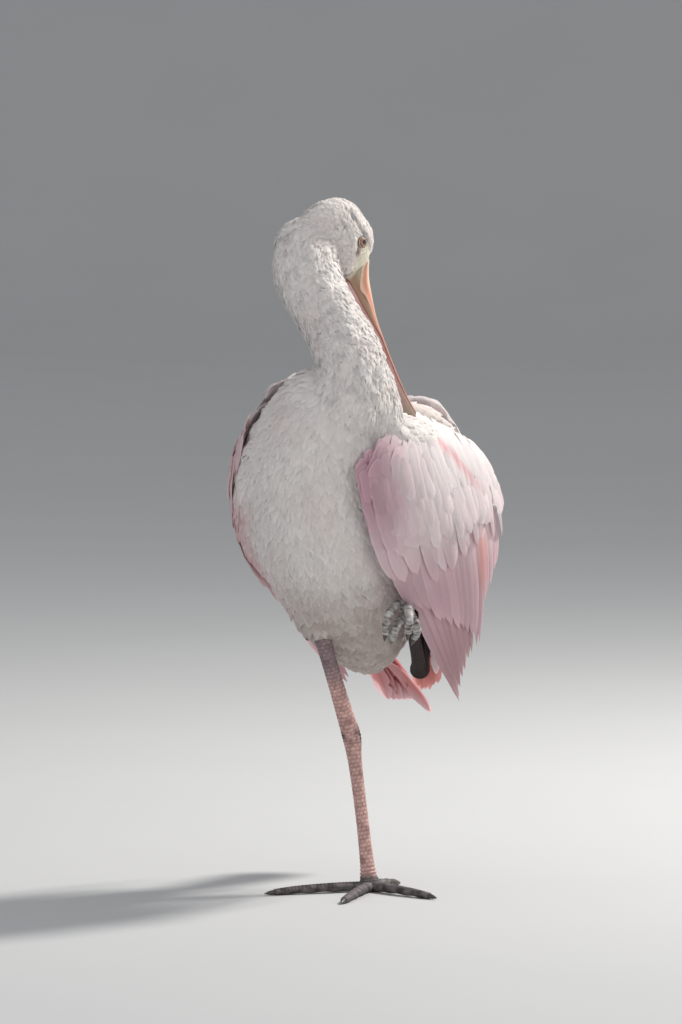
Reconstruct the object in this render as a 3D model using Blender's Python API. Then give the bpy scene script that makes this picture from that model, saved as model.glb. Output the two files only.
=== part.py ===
"""A roseate spoonbill, a still and life-size model of a young bird that preens on one leg.

Sizes are in millimetres and become metres where a mesh is made. +Z is up, the breast faces -Y and
the bird's left is towards +X. The origin is the middle of the standing foot's sole, on the floor.
"""
import math

import bmesh
import bpy
from mathutils import Matrix, Vector

MM = 0.001
GAP = 0.3
WELD = 0.001
SHARP_ANGLE = math.radians(40)
UP = Vector((0, 0, 1))
BACK = Vector((0, 1, 0))
RIGHTWARDS = Vector((1, 0, 0))

# Body: a long round form, its axis from the vent (negative) to the chest (positive)
BODY_CENTRE = Vector((-23, -22, 282))
BODY_YAW = math.radians(12)
BODY_PITCH = math.radians(47)
BODY_FORWARD = Vector((-math.sin(BODY_YAW), -math.cos(BODY_YAW), 0))
BODY_AXIS = BODY_FORWARD * math.cos(BODY_PITCH) + UP * math.sin(BODY_PITCH)
BODY_LEFT = Vector((math.cos(BODY_YAW), -math.sin(BODY_YAW), 0))
BODY_BACK = BODY_LEFT.cross(BODY_AXIS) * -1
BODY_RINGS = 18
BODY_SIDES = 24
# Place along the axis, half width, half depth, shift towards the back
BODY_STATIONS = (
    (-165, 2, 2, 5), (-155, 17, 15, 4), (-135, 31, 27, 4), (-110, 41, 40, 2), (-80, 49, 52, 0),
    (-45, 60, 60, -1), (0, 67, 66, -2), (45, 66, 66, -1), (85, 60, 59, 3), (115, 45, 48, 6),
    (138, 26, 32, 8), (150, 2, 2, 8),
)

# Neck: a downy tube from the chest to the back of the head
NECK_ROUTE = (
    Vector((-34, -76, 345)), Vector((-22, -98, 374)), Vector((-14, -101, 405)),
    Vector((-24, -88, 433)), Vector((-38, -75, 457)), Vector((-48, -62, 480)),
    Vector((-47, -52, 500)), Vector((-42, -46, 512)),
)
NECK_WIDTHS = (74, 68, 57, 51, 50, 54, 52, 40)
NECK_SIDES = 16
NECK_CUTS = (0.0, 0.36, 0.66, 1.0)
NECK_NAMES = ("neck_lower", "neck_middle", "neck_upper")
NECK_RINGS = 7
HEAD_CLEARANCE = 0.5

# Head and bill share one frame: forward along the bill, up to the crown, right to the right cheek
BILL_BASE = Vector((-11.8, -38, 469.7))
BILL_FORWARD = Vector((0.364, 0.25, -0.897)).normalized()
CROWN_LEAN = Vector((0.82, 0.45, 0.3))
HEAD_UP = (CROWN_LEAN - BILL_FORWARD * CROWN_LEAN.dot(BILL_FORWARD)).normalized()
HEAD_RIGHT = BILL_FORWARD.cross(HEAD_UP)
HEAD_RINGS = 14
HEAD_SIDES = 18
# Place along the bill's line, crown height, throat depth, half width
HEAD_STATIONS = (
    (-72, 6, -12, 4), (-67, 17, -22, 13), (-59, 23, -27, 17.5), (-48, 26.4, -27, 19),
    (-36, 28, -24, 19.5), (-26, 25.7, -20, 18), (-16, 19.5, -16, 15), (-8, 15, -13.5, 13),
    (0, 12, -11.5, 12),
)
EYE_PLACE = (-32, 10.2)
EYE_OUT = 12.6
EYE_RADIUS = 6.2
LID_RADIUS = 5.6
LID_THICKNESS = 1.5
LID_ASPECT = 0.86
# Corner of the mouth: where the slit starts and ends, its height, how far out and how large
GAPE_REACH = (-17, 3)
GAPE_RISE = -4.5
GAPE_OUT = 13.5
GAPE_SIZE = (4.5, 0.6)

BILL_LENGTH = 165
BILL_SIDES = 10
BILL_RINGS = 16
# Place along the bill, half width, height of the ridge, depth of the lower edge
BILL_STATIONS = (
    (0, 12, 12, -11.5), (12, 10.5, 9.2, -9.4), (30, 8.6, 5.4, -6.6), (50, 7.6, 3.6, -4.6),
    (72, 7.3, 2.9, -3.8), (95, 9, 2.7, -3.3), (115, 15.5, 2.6, -3), (132, 23, 2.6, -2.8),
    (143, 25, 2.5, -2.7), (154, 22, 2.3, -2.5), (161, 14, 2.1, -2.2), (165, 5, 1.7, -1.8),
)
MOUTH_GAP = 0.7
# Nostril: stations of (place along the bill, width), as shares of the ridge's height and half width
NOSTRIL_STATIONS = ((9, 0.5), (12, 1.8), (21, 1.26), (24, 0.4))
NOSTRIL_HEIGHT = 0.84
NOSTRIL_SPREAD = 0.56
NOSTRIL_DEPTH = 0.6
CUT_SIDES = 8
CLEARED_FROM = 20

# Standing leg (the bird's right) and raised leg (its left)
SOLE_CENTRE = Vector((0, 0, 0))
ANKLE = Vector((-14, 14, 118))
SHANK_TOP = Vector((-37, -12, 198))
THIGH_TOP = Vector((-42, -18, 262))
TARSUS_FOOT = Vector((-1.5, 1, 10))
TARSUS_WIDTH = 9.6
SHANK_WIDTH = 12
ANKLE_WIDTH = 15
LEG_SIDES = 12
THIGH_WIDTHS = (24, 35, 50, 74)
LEFT_KNEE = Vector((47, -16, 232))
LEFT_ANKLE = Vector((39, 40, 168))
LEFT_TOE_BASE = Vector((31, -48, 216))
LEFT_HIP = Vector((18, -12, 262))
# The raised toes curl from their base: knuckle, bend, tip
RAISED_TOES = (
    (Vector((-9, -14, 9)), Vector((-17, -32, 1)), Vector((-19, -24, -13))),
    (Vector((-2, -16, 7)), Vector((-1, -36, 0)), Vector((-2, -29, -12))),
    (Vector((-7, -11, -3)), Vector((-12, -28, -10)), Vector((-14, -17, -18))),
    (Vector((4, -4, -8)), Vector((5, 0, -14)), Vector((3, 4, -19))),
)

PAD_HEIGHT = 10
# Height and radius of the pad under the leg
PAD_RINGS = ((-1, 8.6), (2, 9), (6, 8.2), (PAD_HEIGHT, 6.8))
TOE_RADIUS = 4.6
TOE_TIP_RADIUS = 3.0
CLAW_LENGTH = 9
TOE_SIDES = 8
TOE_SINK = 0.8
# Route on the floor from the pad: knuckle, middle, tip
TOES = (
    ("outer", Vector((-30, -13, 0)), Vector((-56, -22, 0)), Vector((-73, -30, 0))),
    ("middle", Vector((-8, -34, 0)), Vector((-15, -64, 0)), Vector((-20, -85, 0))),
    ("inner", Vector((18, -24, 0)), Vector((34, -42, 0)), Vector((45, -55, 0))),
    ("hind", Vector((9, 14, 0)), Vector((15, 25, 0)), Vector((20, 35, 0))),
)
WEB_REACH = 0.42
WEB_THICKNESS = 2.4

# Feathers
VANE_THICKNESS = 0.8
# Height that one feather of a row lies over the next, and its half width as a share of their spacing
SHINGLE_RISE = 1.25
SHINGLE_HALF = 0.76
# Place along a vane and its share of the full width
VANE_PROFILE = ((0.0, 0.7), (0.35, 1.0), (0.85, 0.94), (1.0, 0.34))
VANE_SHOULDER = 0.85

TAIL_ROOT = Vector((7, 80, 178))
TAIL_LINE = Vector((0.27, 0.86, -0.36)).normalized()
TAIL_ROLL = math.radians(14)
TAIL_LENGTH = 112
TAIL_COUNT = 8
TAIL_SPREAD = math.radians(5.5)
TAIL_ROOT_HALF = 9
TAIL_VANE_WIDTH = 15
TAIL_LAYER = 1.15

# Wing: heights of the layers over its sheet, from the quills of the hand out to the small coverts
LEFT_LAYERS = {"hand": (0.4, 2.4, 4.0), "arm": (5.0, 6.8, 8.0), "coverts": (9.6, 11.4, 16.8), "median": 14.6}
RIGHT_LAYERS = {"hand": (0.4, 1.9, 3.2), "arm": (4.2, 5.6, 6.6), "coverts": (7.9, 9.4, 13.2), "median": 12.3}
SHEET_ROWS = 5
CLOSE_STEP = 0.05
SLAB_STEPS = 10
SLAB_END = 0.2
WING_MARGIN = 1.0
# Each tier of a wing: how many vanes, x at the roots, x at the tips and y at the roots and tips, each
# for the front and back vane of the row
TIERS = {
    "hand": (8, (0.12, 0.12), (1.0, 0.84), (0.08, 0.46), (0.25, 0.9)),
    "arm": (7, (0.12, 0.12), (0.62, 0.80), (0.14, 0.72), (0.14, 0.76)),
    "tertials": (4, (0.12, 0.12), (0.68, 0.62), (0.80, 0.93), (0.84, 0.97)),
    "coverts": (8, (0.17, 0.17), (0.51, 0.46), (0.07, 0.92), (0.07, 0.93)),
    "median": (6, (0.17, 0.17), (0.36, 0.34), (0.08, 0.91), (0.08, 0.92)),
}
# The slab that joins a tier's roots: x from and to, and its edges as steps of a tenth of y
ROOT_SLAB = (0.04, 0.16)
ALL_STEPS = (0, 10)
ARM_STEPS = (1, 10)
HAND_STEPS = (1, 5)
ARM_RINGS = 7
ARM_SIDES = 10

# Left wing: a bent sheet through nine points, its rows from the arm to the tips
LEFT_WING = (
    (Vector((-15, -121, 339)), Vector((33, -73, 358)), Vector((66, 6, 343))),
    (Vector((3, -96, 262)), Vector((56, -48, 266)), Vector((93, 24, 279))),
    (Vector((64, 62, 144)), Vector((70, 86, 144)), Vector((78, 104, 147))),
)
# Bones and flesh under the coverts: y along the front of the sheet and the width there
LEFT_ARM = ((0.02, 11), (0.06, 16), (0.3, 20), (0.5, 22), (0.75, 20), (1, 14))
RIGHT_ARM = ((0, 12), (0.25, 18), (0.5, 21), (0.75, 20), (1, 16))
ARM_LIFT = 7
LEFT_SHOULDER = (Vector((-8, -66, 350)), Vector((12, -68, 358)), Vector((32, -66, 349)))
SHOULDER_WIDTHS = (48, 46, 34, 20)
# Front shoulder feathers: x and lift of the sheet they lie on, then y and the height there
COVER_ROWS = ((0.2, 0), (0.08, 0.5), (-0.04, -1))
COVER_COLUMNS = ((0.4, 13), (0.72, 18.5), (1.03, 18.5))
# Right wing and right back: places along the body and turns round it, in degrees
RIGHT_ROWS = ((84, (192, 156, 120)), (-40, (190, 150, 112)))
RIGHT_MANTLE_ALONG = (92, 20, -60)
RIGHT_MANTLE_TURNS = ((97, 2), (118, 13.5), (140, 15))
RIGHT_TIPS = (Vector((-26, 136, 150)), Vector((-6, 158, 150)), Vector((8, 166, 158)))
# Left back: a raised sheet of shoulder feathers from the body out over the wing, behind the bill
LEFT_MANTLE = (
    (Vector((-4, -8, 352)), Vector((0, 30, 316)), Vector((2, 62, 262))),
    (Vector((33, 24, 374)), Vector((44, 56, 323)), Vector((40, 84, 255))),
    (Vector((66, 26, 356)), Vector((84, 62, 296)), Vector((72, 98, 228))),
)


def shade(name, colour, roughness):
    """A plain material for one node."""
    material = bpy.data.materials.new(name)
    material.use_nodes = True
    shader = material.node_tree.nodes["Principled BSDF"]
    shader.inputs["Base Color"].default_value = (*colour, 1)
    shader.inputs["Roughness"].default_value = roughness
    shader.inputs["Metallic"].default_value = 0
    return material


WHITE_DOWN = (0.86, 0.82, 0.80)
PALE_PINK = (0.90, 0.66, 0.68)
ROSE = (0.84, 0.40, 0.45)
CORAL = (0.78, 0.36, 0.24)
LEG_PINK = (0.55, 0.33, 0.31)
LEG_DARK = (0.16, 0.10, 0.10)
AMBER = (0.70, 0.36, 0.08)


def smooth_sizes(stations, place):
    """The sizes at a place, on a smooth curve through stations of (place, size, ...)."""
    last = len(stations) - 1
    index = 0
    while index < last - 1 and place > stations[index + 1][0]:
        index += 1
    low, high = stations[index], stations[index + 1]
    before, after = stations[max(index - 1, 0)], stations[min(index + 2, last)]
    span = high[0] - low[0]
    k = min(max((place - low[0]) / span, 0), 1)
    sizes = []
    for n in range(1, len(low)):
        slope_low = (high[n] - before[n]) / (high[0] - before[0]) * span
        slope_high = (after[n] - low[n]) / (after[0] - low[0]) * span
        sizes.append(
            low[n] * (2 * k**3 - 3 * k**2 + 1) + slope_low * (k**3 - 2 * k**2 + k)
            + high[n] * (3 * k**2 - 2 * k**3) + slope_high * (k**3 - k**2))
    return sizes


def mix(low, high, share):
    return low + (high - low) * share


class Route:
    """A smooth line through points, read at a share of its length."""

    def __init__(self, points, sizes=None):
        sizes = sizes or [0] * len(points)
        lengths = [0]
        for start, end in zip(points, points[1:]):
            lengths.append(lengths[-1] + (end - start).length)
        self.length = lengths[-1]
        self.stations = [(at, *point, size) for at, point, size in zip(lengths, points, sizes)]

    def at(self, share):
        return Vector(smooth_sizes(self.stations, share * self.length)[:3])

    def size(self, share):
        return smooth_sizes(self.stations, share * self.length)[3]

    def heading(self, share):
        step = 0.01
        low, high = max(share - step, 0), min(share + step, 1)
        return (self.at(high) - self.at(low)).normalized()


def ring(centre, side, rise, half_width, half_height, sides):
    """An ellipse of points round a centre."""
    points = []
    for n in range(sides):
        turn = math.tau * n / sides
        points.append(centre + side * (half_width * math.cos(turn)) + rise * (half_height * math.sin(turn)))
    return points


def closed_mesh(points, faces):
    """A mesh in metres from points in millimetres, its faces turned outwards."""
    build = bmesh.new()
    verts = [build.verts.new(point * MM) for point in points]
    for face in faces:
        build.faces.new([verts[n] for n in face])
    bmesh.ops.recalc_face_normals(build, faces=build.faces)
    mesh = bpy.data.meshes.new("form")
    build.to_mesh(mesh)
    build.free()
    return mesh


def loft(rings):
    """A closed body through rings of equal count, with a fan of faces over each end.

    Its sides are triangles, so that a form and the same form grown as a cutter stay parallel.
    """
    count = len(rings[0])
    points = [point for one in rings for point in one]
    faces = []
    for row in range(len(rings) - 1):
        for n in range(count):
            here, there = row * count + n, row * count + (n + 1) % count
            faces.extend(((here, there, there + count), (here, there + count, here + count)))
    for row in (0, len(rings) - 1):
        points.append(sum(rings[row], Vector()) / count)
        for n in range(count):
            faces.append((row * count + n, row * count + (n + 1) % count, len(points) - 1))
    return closed_mesh(points, faces)


def tube(route, rings, sides, across=BACK, flatten=1.0, start=0.0, end=1.0, grow=0.0):
    """A round form along a route, as wide as the route's own sizes say.

    grow moves its sides and both ends outwards, or inwards at the ends alone where it is negative.
    """
    forms = []
    for n in range(rings):
        share = start + (end - start) * n / (rings - 1)
        heading = route.heading(share)
        side = (across - heading * across.dot(heading)).normalized()
        half = route.size(share) / 2 + max(grow, 0)
        push = {0: -grow, rings - 1: grow}.get(n, 0)
        forms.append(ring(route.at(share) + heading * push, side, heading.cross(side), half,
                          half * flatten, sides))
    return loft(forms)


def vane_mesh(stations):
    """A thin feather blade: each station is its left edge, shaft and right edge, each (top, underside)."""
    points = [point for station in stations for pair in station for point in pair]
    faces = []
    for row in range(len(stations) - 1):
        a, b = row * 6, row * 6 + 6
        for column in (0, 2):
            for face in (0, 1):
                i, j, k, m = a + column + face, a + column + 2 + face, b + column + 2 + face, b + column + face
                faces.extend(((i, j, k), (i, k, m)))
        for edge in (0, 4):
            faces.extend(((a + edge, a + edge + 1, b + edge + 1), (a + edge, b + edge + 1, b + edge)))
    for base in (0, (len(stations) - 1) * 6):
        faces.extend(((base, base + 2, base + 3), (base, base + 3, base + 1),
                      (base + 2, base + 4, base + 5), (base + 2, base + 5, base + 3)))
    return closed_mesh(points, faces)


class Sheet:
    """A bent surface through nine points. x runs down the feathers, y from front to back.

    It is straight between rows of equal x, which all forms on it share, so they bend alike. With a
    margin it is kept at least that far outside the body.
    """

    def __init__(self, rows, outward, margin=None):
        self.rows = rows
        self.outward = outward
        self.margin = margin

    @staticmethod
    def weights(t):
        return ((1 - t) * (1 - 2 * t), 4 * t * (1 - t), t * (2 * t - 1))

    def smooth_at(self, x, y):
        place = Vector()
        for row, by_row in zip(self.rows, self.weights(x)):
            for point, by_column in zip(row, self.weights(y)):
                place += point * (by_row * by_column)
        return place if self.margin is None else out_of_torso(place, self.margin)

    def row_place(self, row, y, lift):
        """A place over one of the rows, lifted along the surface's own outward direction."""
        x, step = row / SHEET_ROWS, 0.01
        along = self.smooth_at(x + step, y) - self.smooth_at(x - step, y)
        across = self.smooth_at(x, y + step) - self.smooth_at(x, y - step)
        normal = along.cross(across).normalized()
        return self.smooth_at(x, y) + normal * (lift if normal.dot(self.outward) > 0 else -lift)

    def lifted(self, x, y, lift):
        row = math.floor(x * SHEET_ROWS)
        share = x * SHEET_ROWS - row
        return mix(self.row_place(row, y, lift), self.row_place(row + 1, y, lift), share)

    @staticmethod
    def steps(low, high, extra=()):
        """The places between two x where a form on the sheet has its sections, rows always among them."""
        first, last = math.floor(low * SHEET_ROWS) + 1, math.ceil(high * SHEET_ROWS)
        places = [low, *(row / SHEET_ROWS for row in range(first, last)), high]
        return sorted(places + [x for x in extra if min(abs(x - other) for other in places) > CLOSE_STEP])


def vane_width(share):
    """The width of a vane at a share of its length, as a share of its full width."""
    for (low, wide), (high, wide_there) in zip(VANE_PROFILE, VANE_PROFILE[1:]):
        if share <= high:
            return mix(wide, wide_there, (share - low) / (high - low))
    return VANE_PROFILE[-1][1]


def shingles(sheet, count, roots, tips, y_roots, y_tips, lift, lean):
    """A row of vanes on a sheet, each edge a little over the next vane.

    roots and tips give x at the row's two ends, y_roots and y_tips the y there. lean is 1 where the
    vane towards the back lies over the one before it, -1 where it lies under.
    """
    root_step, tip_step = ((ys[1] - ys[0]) / (count - 1) for ys in (y_roots, y_tips))
    pieces = []
    for n in range(count):
        share = n / (count - 1)
        root_x, tip_x = mix(*roots, share), mix(*tips, share)
        root_y, tip_y = mix(*y_roots, share), mix(*y_tips, share)
        stations = []
        for x in sheet.steps(root_x, tip_x, extra=[mix(root_x, tip_x, VANE_SHOULDER)]):
            k = (x - root_x) / (tip_x - root_x)
            half = mix(root_step, tip_step, k) * SHINGLE_HALF * vane_width(k)
            station = []
            for edge in (-1, 0, 1):
                y = mix(root_y, tip_y, k) + edge * half
                rise = lift + edge * lean * SHINGLE_RISE * SHINGLE_HALF * vane_width(k)
                station.append([sheet.lifted(x, y, rise + side * VANE_THICKNESS / 2) for side in (1, -1)])
            stations.append(station)
        pieces.append(vane_mesh(stations))
    return pieces


def sheet_slab(sheet, x_range, y_steps, low, high):
    """A slab on a sheet between two lifts, its two faces divided alike."""
    xs = sheet.steps(*x_range)
    ys = [n / SLAB_STEPS for n in range(y_steps[0], y_steps[1] + 1)]
    points = [sheet.lifted(x, y, lift) for lift in (high, low) for x in xs for y in ys]
    wide, face_size = len(ys), len(xs) * len(ys)
    faces = []
    for row in range(len(xs) - 1):
        for n in range(wide - 1):
            for here in (row * wide + n, row * wide + n + face_size):
                faces.extend(((here, here + 1, here + wide + 1), (here, here + wide + 1, here + wide)))
    last = (len(xs) - 1) * wide
    rim = list(range(wide)) + [row * wide + wide - 1 for row in range(1, len(xs))]
    rim += list(range(last + wide - 2, last - 1, -1)) + [row * wide for row in range(len(xs) - 2, 0, -1)]
    for here, there in zip(rim, rim[1:] + rim[:1]):
        faces.append((here, there, there + face_size, here + face_size))
    return closed_mesh(points, faces)


def solid(mesh, name="piece"):
    thing = bpy.data.objects.new(name, mesh)
    bpy.context.scene.collection.objects.link(thing)
    return thing


def evaluated_mesh(thing):
    bpy.context.view_layer.update()
    return bpy.data.meshes.new_from_object(thing.evaluated_get(bpy.context.evaluated_depsgraph_get()))


def discard(thing):
    mesh = thing.data
    bpy.data.objects.remove(thing, do_unlink=True)
    if mesh.users == 0:
        bpy.data.meshes.remove(mesh)


def boolean(thing, meshes, operation, solver="MANIFOLD"):
    """Joins or cuts one object with closed meshes, applied, and clears them away."""
    tools = bpy.data.collections.new("tools")
    bpy.context.scene.collection.children.link(tools)
    for mesh in meshes:
        tool = bpy.data.objects.new("tool", mesh)
        tool.hide_render = True
        tool.display_type = "WIRE"
        tools.objects.link(tool)
    change = thing.modifiers.new("change", "BOOLEAN")
    change.operation = operation
    change.operand_type = "COLLECTION"
    change.collection = tools
    change.solver = solver
    result = evaluated_mesh(thing)
    thing.modifiers.clear()
    thing.data = result
    for tool in list(tools.objects):
        discard(tool)
    bpy.data.collections.remove(tools)
    return thing


def keep_largest(thing):
    """Leaves only the largest closed surface of an object."""
    build = bmesh.new()
    build.from_mesh(thing.data)
    bmesh.ops.triangulate(build, faces=build.faces)
    bmesh.ops.remove_doubles(build, verts=build.verts, dist=WELD * MM)
    seen, groups = set(), []
    for face in build.faces:
        if face in seen:
            continue
        group, queue = [], [face]
        seen.add(face)
        while queue:
            one = queue.pop()
            group.append(one)
            for edge in one.edges:
                # Two surfaces that only touch along an edge stay apart
                if len(edge.link_faces) != 2:
                    continue
                for other in edge.link_faces:
                    if other not in seen:
                        seen.add(other)
                        queue.append(other)
        groups.append(group)
    largest = max(groups, key=lambda group: sum(face.calc_area() for face in group))
    scraps = [face for group in groups if group is not largest for face in group]
    bmesh.ops.delete(build, geom=scraps, context="FACES")
    build.to_mesh(thing.data)
    build.free()


def node(name, meshes, material, cutters=()):
    """One named node: its pieces joined, cut clear of its neighbours and given a material."""
    thing = solid(meshes[0], name)
    if len(meshes) > 1:
        boolean(thing, meshes[1:], "UNION")
    for cutter in cutters:
        boolean(thing, [cutter], "DIFFERENCE")
    keep_largest(thing)
    thing.data.name = name
    thing.data.materials.clear()
    thing.data.materials.append(material)
    for collection in list(thing.users_collection):
        collection.objects.unlink(thing)
    MODEL.objects.link(thing)
    thing.parent = BIRD
    thing.data.shade_smooth()
    thing.data.set_sharp_from_angle(angle=SHARP_ANGLE)


def torso_point(along, turn, grow=0.0):
    """A place on the body: turn is 0 on its left, a quarter on its back, in radians."""
    width, depth, shift = smooth_sizes(BODY_STATIONS, along)
    centre = BODY_CENTRE + BODY_AXIS * along + BODY_BACK * shift
    return (centre + BODY_LEFT * ((width + grow) * math.cos(turn))
            + BODY_BACK * ((depth + grow) * math.sin(turn)))


def torso_form(grow=0.0):
    rings = []
    first, last = BODY_STATIONS[0][0], BODY_STATIONS[-1][0]
    for n in range(BODY_RINGS):
        swing = 0.5 - 0.5 * math.cos(math.pi * n / (BODY_RINGS - 1))
        along = first + (last - first) * swing
        one = [torso_point(along, math.tau * k / BODY_SIDES, grow) for k in range(BODY_SIDES)]
        push = BODY_AXIS * (grow * (2 * swing - 1))
        rings.append([point + push for point in one])
    return loft(rings)


def out_of_torso(place, margin):
    """The place, moved out along the body's radius where it lies nearer than the margin."""
    offset = place - BODY_CENTRE
    along = offset.dot(BODY_AXIS)
    if not BODY_STATIONS[0][0] < along < BODY_STATIONS[-1][0]:
        return place
    width, depth, shift = smooth_sizes(BODY_STATIONS, along)
    left, back = offset.dot(BODY_LEFT), offset.dot(BODY_BACK) - shift
    reach = math.hypot(left / (width + margin), back / (depth + margin))
    if reach >= 1:
        return place
    return (BODY_CENTRE + BODY_AXIS * along + BODY_LEFT * (left / reach)
            + BODY_BACK * (back / reach + shift))


def head_place(along, rise, right=0.0):
    """A place in the head's own frame."""
    return BILL_BASE + BILL_FORWARD * along + HEAD_UP * rise + HEAD_RIGHT * right


def head_form(grow=0.0):
    rings = []
    first, last = HEAD_STATIONS[0][0], HEAD_STATIONS[-1][0]
    for n in range(HEAD_RINGS):
        along = first + (last - first) * (n / (HEAD_RINGS - 1)) ** 1.25
        top, bottom, half = smooth_sizes(HEAD_STATIONS, along)
        centre = head_place(along - (grow if n == 0 else 0), (top + bottom) / 2)
        rings.append(ring(centre, HEAD_RIGHT, HEAD_UP, half + grow, (top - bottom) / 2 + grow, HEAD_SIDES))
    return loft(rings)


def neck_route():
    return Route(NECK_ROUTE, NECK_WIDTHS)


def ball(centre, radius, segments=14, rings=8):
    build = bmesh.new()
    bmesh.ops.create_uvsphere(build, u_segments=segments, v_segments=rings, radius=radius * MM,
                              matrix=Matrix.Translation(centre * MM))
    mesh = bpy.data.meshes.new("ball")
    build.to_mesh(mesh)
    build.free()
    return mesh


def eye_centre(side):
    along, rise = EYE_PLACE
    return head_place(along, rise, side * EYE_OUT)


def lid_form(side):
    """The raised rim round an eye."""
    look = (HEAD_RIGHT * side + HEAD_UP * 0.18 + BILL_FORWARD * 0.12).normalized()
    across = (BILL_FORWARD - look * BILL_FORWARD.dot(look)).normalized()
    rise = look.cross(across)
    middle = eye_centre(side) + look * (EYE_RADIUS * 0.52)
    turns, sides = 16, 5
    points, faces = [], []
    for n in range(turns):
        turn = math.tau * n / turns
        spoke = across * math.cos(turn) + rise * (LID_ASPECT * math.sin(turn))
        for k in range(sides):
            roll = math.tau * k / sides
            points.append(middle + spoke * (LID_RADIUS + LID_THICKNESS * math.cos(roll))
                          + look * (LID_THICKNESS * 1.4 * math.sin(roll)))
            here, right = n * sides, ((n + 1) % turns) * sides
            faces.append((here + k, here + (k + 1) % sides, right + (k + 1) % sides, right + k))
    return closed_mesh(points, faces)


def make_head():
    material = shade("head feathers and bare face", WHITE_DOWN, 0.8)
    sockets = [ball(eye_centre(side), EYE_RADIUS + GAP) for side in (1, -1)]
    gape = []
    for side in (1, -1):
        cut = []
        for along in GAPE_REACH:
            middle = head_place(along, GAPE_RISE, side * GAPE_OUT)
            cut.append(ring(middle, HEAD_RIGHT, HEAD_UP, *GAPE_SIZE, CUT_SIDES))
        gape.append(loft(cut))
    node("head", [head_form(), lid_form(1), lid_form(-1)], material, cutters=sockets + gape)
    iris = shade("eye", AMBER, 0.1)
    for name, side in (("eye_right", 1), ("eye_left", -1)):
        node(name, [ball(eye_centre(side), EYE_RADIUS)], iris)


def bill_ring(along, part, grow=0.0):
    """Half of the bill's section: part is 1 for the upper and -1 for the lower mandible."""
    half, ridge, keel = smooth_sizes(BILL_STATIONS, along)
    reach = ridge if part > 0 else -keel
    gap = MOUTH_GAP / 2
    # The mouth line sits below the bill's middle at the base
    line = -4.0 * max(0, 1 - along / 45)
    points = []
    for n in range(BILL_SIDES + 1):
        turn = math.pi * n / BILL_SIDES
        rise = max(reach - part * line - gap, 0.5) * math.sin(turn) ** 0.85
        points.append(head_place(along, line + part * (gap + rise), part * half * math.cos(turn)))
    return points


def mandible(part):
    rings = []
    for n in range(BILL_RINGS):
        along = GAP + (BILL_LENGTH - GAP) * n / (BILL_RINGS - 1)
        rings.append(bill_ring(along, part))
    return loft(rings)


def bill_clearance(grow):
    """The whole bill, grown, to cut the plumage clear of it."""
    rings = []
    for n in range(BILL_RINGS):
        along = CLEARED_FROM + (BILL_LENGTH + grow - CLEARED_FROM) * n / (BILL_RINGS - 1)
        half, ridge, keel = smooth_sizes(BILL_STATIONS, min(along, BILL_LENGTH))
        centre = head_place(along, (ridge + keel) / 2)
        rings.append(ring(centre, HEAD_RIGHT, HEAD_UP, half + grow, (ridge - keel) / 2 + grow, BILL_SIDES))
    return loft(rings)


def make_bill():
    horn = shade("bill horn", CORAL, 0.45)
    slits = []
    for side in (1, -1):
        line = []
        for along, width in NOSTRIL_STATIONS:
            half, ridge, _ = smooth_sizes(BILL_STATIONS, along)
            middle = head_place(along, ridge * NOSTRIL_HEIGHT, side * half * NOSTRIL_SPREAD)
            size = width / 2 + NOSTRIL_DEPTH
            line.append(ring(middle, HEAD_RIGHT, HEAD_UP, size, size, CUT_SIDES))
        slits.append(loft(line))
    node("bill_upper", [mandible(1)], horn, cutters=slits)
    node("bill_lower", [mandible(-1)], shade("lower bill horn", (0.45, 0.25, 0.28), 0.5))


def make_neck():
    material = shade("neck down", WHITE_DOWN, 0.9)
    route = neck_route()
    for name, start, end in zip(NECK_NAMES, NECK_CUTS, NECK_CUTS[1:]):
        form = tube(route, NECK_RINGS, NECK_SIDES, across=RIGHTWARDS, start=start, end=end, grow=-GAP / 2)
        cutter = head_form(HEAD_CLEARANCE) if end == 1 else torso_form(GAP)
        node(name, [form], material, cutters=[cutter])


def leg_tube(points, widths, rings=8):
    return tube(Route(points, widths), rings, LEG_SIDES)


def below(height):
    """A block that cuts away all of a foot or leg below a height."""
    build = bmesh.new()
    size = 400 * MM
    place = Matrix.Translation((0, 0, height * MM - size / 2))
    bmesh.ops.create_cube(build, size=size, matrix=place)
    mesh = bpy.data.meshes.new("below")
    build.to_mesh(mesh)
    build.free()
    return mesh


def toe_form(points, radius, tip_radius):
    """One toe with its knuckles and claw, along points at the height of its own middle."""
    start, end = points[0], points[-1]
    claw = (end - points[-2]).normalized() * CLAW_LENGTH
    route = Route(list(points) + [end + claw], [0] * (len(points) + 1))
    body_share = 1 - CLAW_LENGTH / route.length
    forms = []
    rings = 7
    for n in range(rings):
        share = n / (rings - 1)
        heading = route.heading(share)
        side = heading.cross(UP).normalized()
        if share <= body_share:
            size = radius + (tip_radius - radius) * share / body_share
            size += 0.45 * math.sin(share / body_share * math.pi * 4) ** 2
        else:
            size = tip_radius * (1 - share) / (1 - body_share) * 0.75 + 0.35
        forms.append(ring(route.at(share), side, side.cross(heading), size, size * 0.85, TOE_SIDES))
    return loft(forms)


def web_form(first, second, height):
    """The small web between two toes, near the pad."""
    a, b = first[1] * WEB_REACH * 1.5, second[1] * WEB_REACH * 1.5
    middle = (a + b) / 2 * 0.62
    outline = [Vector((0, 0, 0)), a, middle, b]
    points = [point + UP * (height + WEB_THICKNESS / 2) for point in outline]
    points += [point + UP * (height - WEB_THICKNESS / 2) for point in outline]
    faces = [(0, 1, 2), (0, 2, 3), (4, 6, 5), (4, 7, 6)]
    for n in range(4):
        m = (n + 1) % 4
        faces.append((n, m, m + 4, n + 4))
    return closed_mesh(points, faces)


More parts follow.
